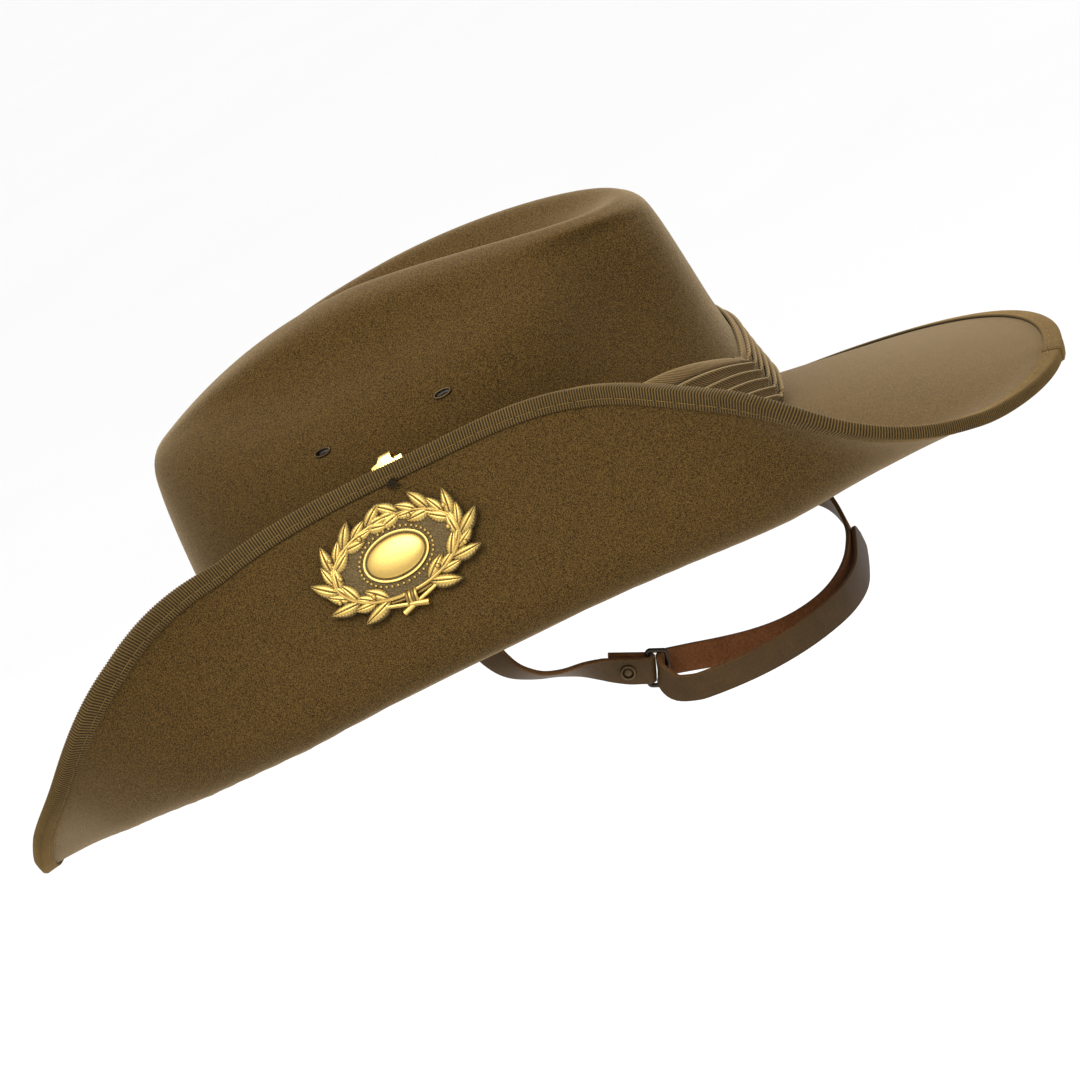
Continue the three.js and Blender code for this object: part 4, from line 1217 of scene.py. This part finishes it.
def badge():
    shell = Shell()
    arc_wide = BADGE_WIDTH * 0.36
    arc_tall = BADGE_HEIGHT * 0.33
    centre = BADGE_HEIGHT * -0.02
    plate = BADGE_PLATE
    last_pair = LEAF_PAIRS - 1

    def sweep(line, radius, sides, relief):
        shell.add(tube(badge_place.at(line), radius, sides), wrap_rows=True, caps=True, relief=relief)

    def on_branch(share, grow=1.0):
        """A place on the right-hand branch, from its stem to its tip, and its heading."""
        turn = math.radians(mix(-72, 74, share))
        x = arc_wide * math.cos(turn) * grow
        y = centre + arc_tall * math.sin(turn) * grow
        return x, y, math.atan2(arc_tall * math.cos(turn), -arc_wide * math.sin(turn))

    # plate under the wreath, in shares of the arc's width and height
    rings = [
        (0, 0, 0, 0),
        (1.06, 1.1, 0, 0.1),
        (1.08, 1.12, 0.15, 0.5),
        (1.08, 1.12, plate - 0.2, 0.7),
        (1.06, 1.1, plate, 0.6),
        (1.0, 1.0, plate, 0.1),
        (0.8, 0.76, plate, 0.05),
        (0.6, 0.66, plate, 0.05),
        (0, 0, plate, 0.05),
    ]
    rings = [(arc_wide * wide, arc_tall * tall, z, high) for wide, tall, z, high in rings]
    stack_ovals(shell, badge_place, rings, 96, 0, centre)
    # boss with a moulded rim: how far in from its edge, thicknesses of the plate, relief
    boss_wide = arc_wide * 0.52
    boss_tall = arc_tall * 0.62
    rings = [(0, 0, plate * 0.5, 0.1)]
    for inset, level, high in [
        (0, 0.5, 0.1),
        (0, 1.35, 0.55),
        (0.12, 1.5, 0.9),
        (0.5, 1.56, 1.0),
        (0.85, 1.42, 0.6),
        (1.0, 1.3, 0.1),
        (1.25, 1.3, 0.08),
        (1.4, 1.42, 0.5),
    ]:
        rings.append((boss_wide - inset, boss_tall - inset, plate * level, high))
    for t in np.linspace(0.08, 1, 14) * math.pi / 2:
        k = math.cos(t)
        rise = plate * 1.5 + plate * 1.2 * math.sin(t)
        rings.append(((boss_wide - 1.45) * k, (boss_tall - 1.45) * k, rise, 0.95))
    stack_ovals(shell, badge_place, rings, 72, 0, centre)
    # beads between boss and wreath
    bead = [(0.02, plate * 0.7, 0), (0.52, plate * 0.7, 0), (0.52, plate, 0.2)]
    bead += [(0.46, plate + 0.28, 0.8), (0.28, plate + 0.46, 1.0), (0.02, plate + 0.54, 1.0)]
    rings = [(radius, radius, z, high) for radius, z, high in bead]
    beads = 40
    for i in range(beads):
        t = (i + 0.5) / beads * 2 * math.pi
        x = (boss_wide + 1.25) * math.cos(t)
        y = centre + (boss_tall + 1.15) * math.sin(t)
        stack_ovals(shell, badge_place, rings, 12, x, y)
    # leaves in pairs, three at the tip, then smaller ones between the pairs
    leaves = []
    for i in range(LEAF_PAIRS):
        share = i / last_pair
        long = BADGE_HEIGHT * mix(0.29, 0.24, share)
        for splay in [-0.5, 0.05, 0.6] if i == last_pair else [-0.62, 0.62]:
            grown, high = (1.05, 2.15) if splay > 0.3 else (0.92, 1.95)
            leaves.append((share, splay, long * grown, 0.125, 0.4, high))
    for i in range(last_pair):
        for splay in (-0.34, 0.34):
            leaves.append(((i + 0.42) / last_pair, splay, BADGE_HEIGHT * 0.22, 0.1, 0.5, 1.7))
    for side in (-1, 1):
        t = np.radians(np.linspace(-96, 82, 50))
        line = [side * arc_wide * np.cos(t), centre + arc_tall * np.sin(t), np.full(50, plate * 1.35)]
        sweep(np.stack(line, -1), np.linspace(0.62, 0.34, 50), 9, 0.75)
        for share, splay, long, wide, low, high in leaves:
            x, y, along = on_branch(share)
            heading = along - splay
            angle = heading if side > 0 else math.pi - heading
            bend = 0.1 * (1 if splay > 0 else -1) * side
            leaf(shell, side * x, y, angle, long, BADGE_HEIGHT * wide, plate * low, plate * high, bend)
        # berries between the leaves
        for i in range(last_pair):
            x, y, _ = on_branch((i + 0.62) / last_pair, 1.0 + (0.12 if i % 2 else -0.12))
            rings = []
            for t in np.linspace(-1, 1, 9):
                radius = 0.85 * math.cos(t * math.pi / 2) + 0.01
                z = plate * 1.75 + 0.85 * math.sin(t * math.pi / 2)
                rings.append((radius, radius, z, 0.4 + 0.6 * max(0, t)))
            stack_ovals(shell, badge_place, rings, 16, side * x, y)
        # stems crossed below the boss
        slope = 0.3 if side > 0 else math.pi - 0.3
        t = np.linspace(0, 1, 16)
        sx = side * -arc_wide * 0.2 + arc_wide * 0.62 * t * math.cos(slope)
        sy = centre - arc_tall * 1.42 + arc_wide * 0.62 * t * math.sin(slope)
        line = [sx, sy, np.full(16, plate * (1.0 if side > 0 else 1.25))]
        sweep(np.stack(line, -1), np.linspace(0.95, 0.6, 16), 10, 0.8)
    # ribbon round the crossed stems
    t = np.linspace(-0.15, 1.15, 15) * math.pi
    for k, x in enumerate((-1.5, -0.5, 0.5, 1.5)):
        y = centre - arc_tall * 1.12 + 1.95 * np.cos(t)
        line = [x + 0.25 * np.cos(t), y, plate * 1.1 + 1.25 * np.sin(t)]
        sweep(np.stack(line, -1), 0.52, 9, 0.55 + 0.25 * (k % 2))
    return sharpen(shell.piece("wreath_badge", "badge_metal", ("badge",), [badge_look]), 35)


badge()


# Chin strap


def aim(swing, lean):
    a = math.radians(swing)
    b = math.radians(lean)
    return vec(math.sin(a), math.cos(a) * math.cos(b), math.cos(a) * math.sin(b))


def station(row):
    along, out, rise, swing, lean = row
    return vec(out * half_width, along * half_length, rise * STRAP_DROP), aim(swing, lean)


def smooth(table, parts):
    places = np.arange((len(table) - 1) * parts + 1) / parts
    return [station(row) for row in through(table, places)]


strap_run = vec(0, 0.905, -0.425)
fold_width = aim(10, 66)
fold_width = unit(fold_width - strap_run * np.dot(fold_width, strap_run))
outward = -np.cross(fold_width, strap_run)
if outward[0] < 0:
    outward = -outward
first_bar = vec(half_width * 0.877, half_length * 0.352, -STRAP_DROP * 0.743)
second_bar = first_bar + strap_run * BUCKLE_PITCH
wrap = BUCKLE_WIRE / 2 + GAP + STRAP / 2


def fold_round(centre, radius, start, stop, steps, forward):
    stations = []
    for i in range(steps + 1):
        t = math.radians(mix(start, stop, i / steps))
        point = centre + outward * radius * math.cos(t) + strap_run * forward * radius * math.sin(t)
        stations.append((point, fold_width))
    return stations


# Half sections of the leather, from the middle of one face to the middle of the other:
# across in shares of half its width, out in shares of half its thickness, material
UNDERSIDE = [(0.0, -1.0, 1), (0.5, -1.0, 1), (0.93, -1.0, 1), (0.975, -0.8, 2), (1.0, -0.35, 2)]
UPPER_SIDE = [(1.0, 0.35, 2), (0.975, 0.8, 2), (0.93, 1.0, 0), (0.86, 0.94, 0), (0.8, 1.0, 0)]
UPPER_SIDE += [(0.5, 1.06, 0), (0.0, 1.08, 0)]


def mirrored(rows):
    return [(-across, out, look) for across, out, look in rows]


LEATHER = mirrored(UNDERSIDE[:0:-1]) + UNDERSIDE + UPPER_SIDE + mirrored(UPPER_SIDE[-2::-1])


FINE_STEP = 0.25


def soften(values, spread):
    """A running mean with a bell weight, whose ends stay where they are."""
    reach = int(3 * spread / FINE_STEP)
    weight = np.exp(-0.5 * (np.arange(-reach, reach + 1) * FINE_STEP / spread) ** 2)
    weight = weight / weight.sum()
    before = 2 * values[0] - values[1 : reach + 1][::-1]
    after = 2 * values[-1] - values[-reach - 1 : -1][::-1]
    padded = np.concatenate([before, values, after])
    return np.stack([np.convolve(padded[:, i], weight, "valid") for i in range(3)], -1)


def even_stations(stations, step, spread):
    """Stations at even steps along a smooth line through the given ones."""
    points = np.array([p for p, _ in stations])
    widths = np.array([w for _, w in stations])
    run = run_of(points)
    fine = np.interp(np.arange(0, run[-1], FINE_STEP), run, np.arange(len(points)))
    fine_points = soften(through(points, fine), spread)
    fine_widths = soften(through(widths, fine), spread * 5)
    keep = np.linspace(0, len(fine) - 1, max(8, int(run[-1] / step))).round().astype(int)
    return fine_points[keep], unit(fine_widths[keep])


def strap(stations, name, replaced, step, spread, round_end=False):
    points, widths = even_stations(stations, step, spread)
    tangent = unit(np.gradient(points, axis=0))
    widths = unit(widths - tangent * np.sum(widths * tangent, -1, keepdims=True))
    normal = np.cross(tangent, widths)
    run = run_of(points)
    narrow = np.ones(len(points))
    if round_end:
        left = np.clip((run[-1] - run) / (STRAP_WIDTH * 0.42), 0, 1)
        narrow = np.sqrt(np.clip(1 - (1 - left) ** 2.2, 0.02, 1))
    grid = []
    for a, b, _ in LEATHER:
        grid.append(points + widths * (a * STRAP_WIDTH / 2 * narrow)[:, None] + normal * (b * STRAP / 2))
    v = np.array([a * STRAP_WIDTH / 2 for a, _, _ in LEATHER] + [0])
    u = np.concatenate([run, [run[-1]]])
    slots = [s for _, _, s in LEATHER]
    looks = [grain_look, flesh_look, edge_look]
    shell = Shell().add(grid, wrap_rows=True, u=u, v=v, caps=True, slots=slots)
    return sharpen(shell.piece(name, "leather", replaced, looks), 50)


def straps():
    front = smooth(SHORT_STRAP, 4)
    fold = fold_round(first_bar, wrap, 0, 180, 12, 1)
    last = fold[-1][0]
    tail = [(last - strap_run * back - outward * 0.03 * back, fold_width) for back in (3, 8, 12.5)]
    lead = [(fold[0][0] - strap_run * back, fold_width) for back in (6, 2.5)]
    strap([*front, *lead, *fold, *tail], "strap_near", ("strap_short",), 0.5, 0.4)
    bend = second_bar + strap_run * 0.7
    turned = fold_round(bend, wrap + 1.8, 180, 0, 16, -1)
    around = []
    for i, (point, width) in enumerate(turned):
        drop = mix(-0.4, 7.0, smoothstep(i / (len(turned) - 1), 0.3, 1.25))
        around.append((point - vec(0, 0, drop), width))
    running = smooth(LONG_STRAP_RUNNING, 4)
    end = smooth(LONG_STRAP_TAIL, 4)
    strap([*running, *around, *end], "strap_far", ("strap_long",), 1.0, 1.5, round_end=True)


straps()

stud_place = first_bar - strap_run * 6 + outward * wrap
stud_frame = Frame(stud_place, outward, fold_width)


def stud():
    """Rings from the back of the stud to its face: radius, height and relief."""
    back = -STRAP * 1.5 - BUCKLE_WIRE - GAP * 2
    rear = back - GAP - 0.7
    face = STRAP / 2 + 0.05
    profile = [
        (0, rear - 0.8, 0.4),
        (1.8, rear - 0.8, 0.5),
        (2.1, rear - 0.6, 0.6),
        (2.1, rear, 0.3),
        (1.0, rear, 0),
        (1.0, face, 0),
    ]
    for share, z, high in [
        (1.0, 0, 0.3),
        (1.0, 0.3, 0.6),
        (0.94, 0.55, 0.9),
        (0.82, 0.78, 1.0),
        (0.72, 0.8, 0.9),
        (0.64, 0.62, 0.4),
        (0.6, 0.42, 0.1),
        (0.5, 0.42, 0.1),
        (0.42, 0.62, 0.7),
        (0.25, 0.78, 1.0),
        (0, 0.82, 1.0),
    ]:
        profile.append((STUD_RADIUS * share, face + z, high))
    shell = Shell()
    stack_ovals(shell, stud_frame, [(radius, radius, z, high) for radius, z, high in profile], 36)
    return sharpen(shell.piece("stud", "eyelet_metal", ("strap_stud",), [bronze_look]), 45)


stud()


def buckle():
    """Wire loop with round corners, its bars square to the strap."""
    half = BUCKLE_LENGTH / 2
    corner = 1.1
    middle = (first_bar + second_bar) / 2
    path = []
    span = BUCKLE_PITCH / 2
    for quarter, (sx, sy) in enumerate([(1, 1), (-1, 1), (-1, -1), (1, -1)]):
        for t in np.linspace(0, math.pi / 2, 9):
            a = quarter * math.pi / 2 + t
            x = sx * (span - corner) + corner * math.cos(a)
            y = sy * (half - corner) + corner * math.sin(a)
            path.append(middle + strap_run * x + fold_width * y)
    filled = []
    for a, b in zip(path, path[1:] + path[:1]):
        steps = max(1, int(np.linalg.norm(b - a) / 0.6))
        filled += [mix(a, b, k / steps) for k in range(steps)]
    wire = tube(filled, BUCKLE_WIRE / 2, 12, closed=True)
    shell = Shell().add(wire, wrap_rows=True, wrap_cols=True, relief=0.7)
    return shell.piece("buckle", "black_metal", ("strap_buckle",), [wire_look])


buckle()


# Floor, light and camera


FLOOR_HALF = 30
FLOOR_LEVEL = -0.75


def add_floor():
    mesh = bpy.data.meshes.new("floor")
    s = FLOOR_HALF
    z = FLOOR_LEVEL
    mesh.from_pydata([(-s, -s, z), (s, -s, z), (s, s, z), (-s, s, z)], [], [[0, 1, 2, 3]])
    floor = add_object("floor", mesh)
    look = Look("pale_floor")
    look.shade({"Base Color": look.ramp(look.noise(1.5, 2), 0.3, 0.955, 0.7, 0.97), "Roughness": 0.9})
    mesh.materials.append(look.material)


add_floor()

AZIMUTH = math.radians(13)
ELEVATION = math.radians(12)
ROLL = math.radians(29.25)
CAMERA_DISTANCE = 1.6
FOCAL_LENGTH = 164.66
SENSOR = 36
target = vec(-0.74, 8.66, -5.77) * MM
level_axis = vec(math.cos(AZIMUTH), math.sin(AZIMUTH), 0)
right_axis = vec(-math.sin(AZIMUTH), math.cos(AZIMUTH), 0)
back_axis = level_axis * math.cos(ELEVATION) + vec(0, 0, math.sin(ELEVATION))
up_axis = np.cross(back_axis, right_axis)
picture_right = right_axis * math.cos(ROLL) - up_axis * math.sin(ROLL)
picture_up = right_axis * math.sin(ROLL) + up_axis * math.cos(ROLL)


def add_camera():
    data = bpy.data.cameras.new("camera")
    data.lens = FOCAL_LENGTH
    data.sensor_width = SENSOR
    data.sensor_height = SENSOR
    data.clip_end = 200
    camera = add_object("camera", data)
    columns = Matrix((picture_right, picture_up, back_axis)).transposed().to_4x4()
    camera.matrix_world = Matrix.Translation(Vector(target + back_axis * CAMERA_DISTANCE)) @ columns
    bpy.context.scene.camera = camera


add_camera()


def add_light(name, side, height, near, size, energy):
    """A square soft light placed in the picture's own directions from the hat."""
    place = target + picture_right * side + picture_up * height + back_axis * near
    data = bpy.data.lights.new(name, "AREA")
    data.shape = "SQUARE"
    data.size = size
    data.energy = energy
    lamp = add_object(name, data)
    lamp.rotation_euler = Vector(target - place).to_track_quat("-Z", "Y").to_euler()
    lamp.location = Vector(place)


add_light("key", -1.0, 0.95, 1.4, 1.1, 31)
add_light("fill", 1.4, 0.4, 1.0, 1.2, 1)
add_light("rim", 0.1, 1.6, -0.7, 0.8, 40)

world = bpy.data.worlds.new("studio")
world.use_nodes = True
background = world.node_tree.nodes["Background"]
background.inputs["Color"].default_value = (1, 1, 1, 1)
background.inputs["Strength"].default_value = 1.0
bpy.context.scene.world = world
bpy.context.scene.view_settings.view_transform = "Standard"
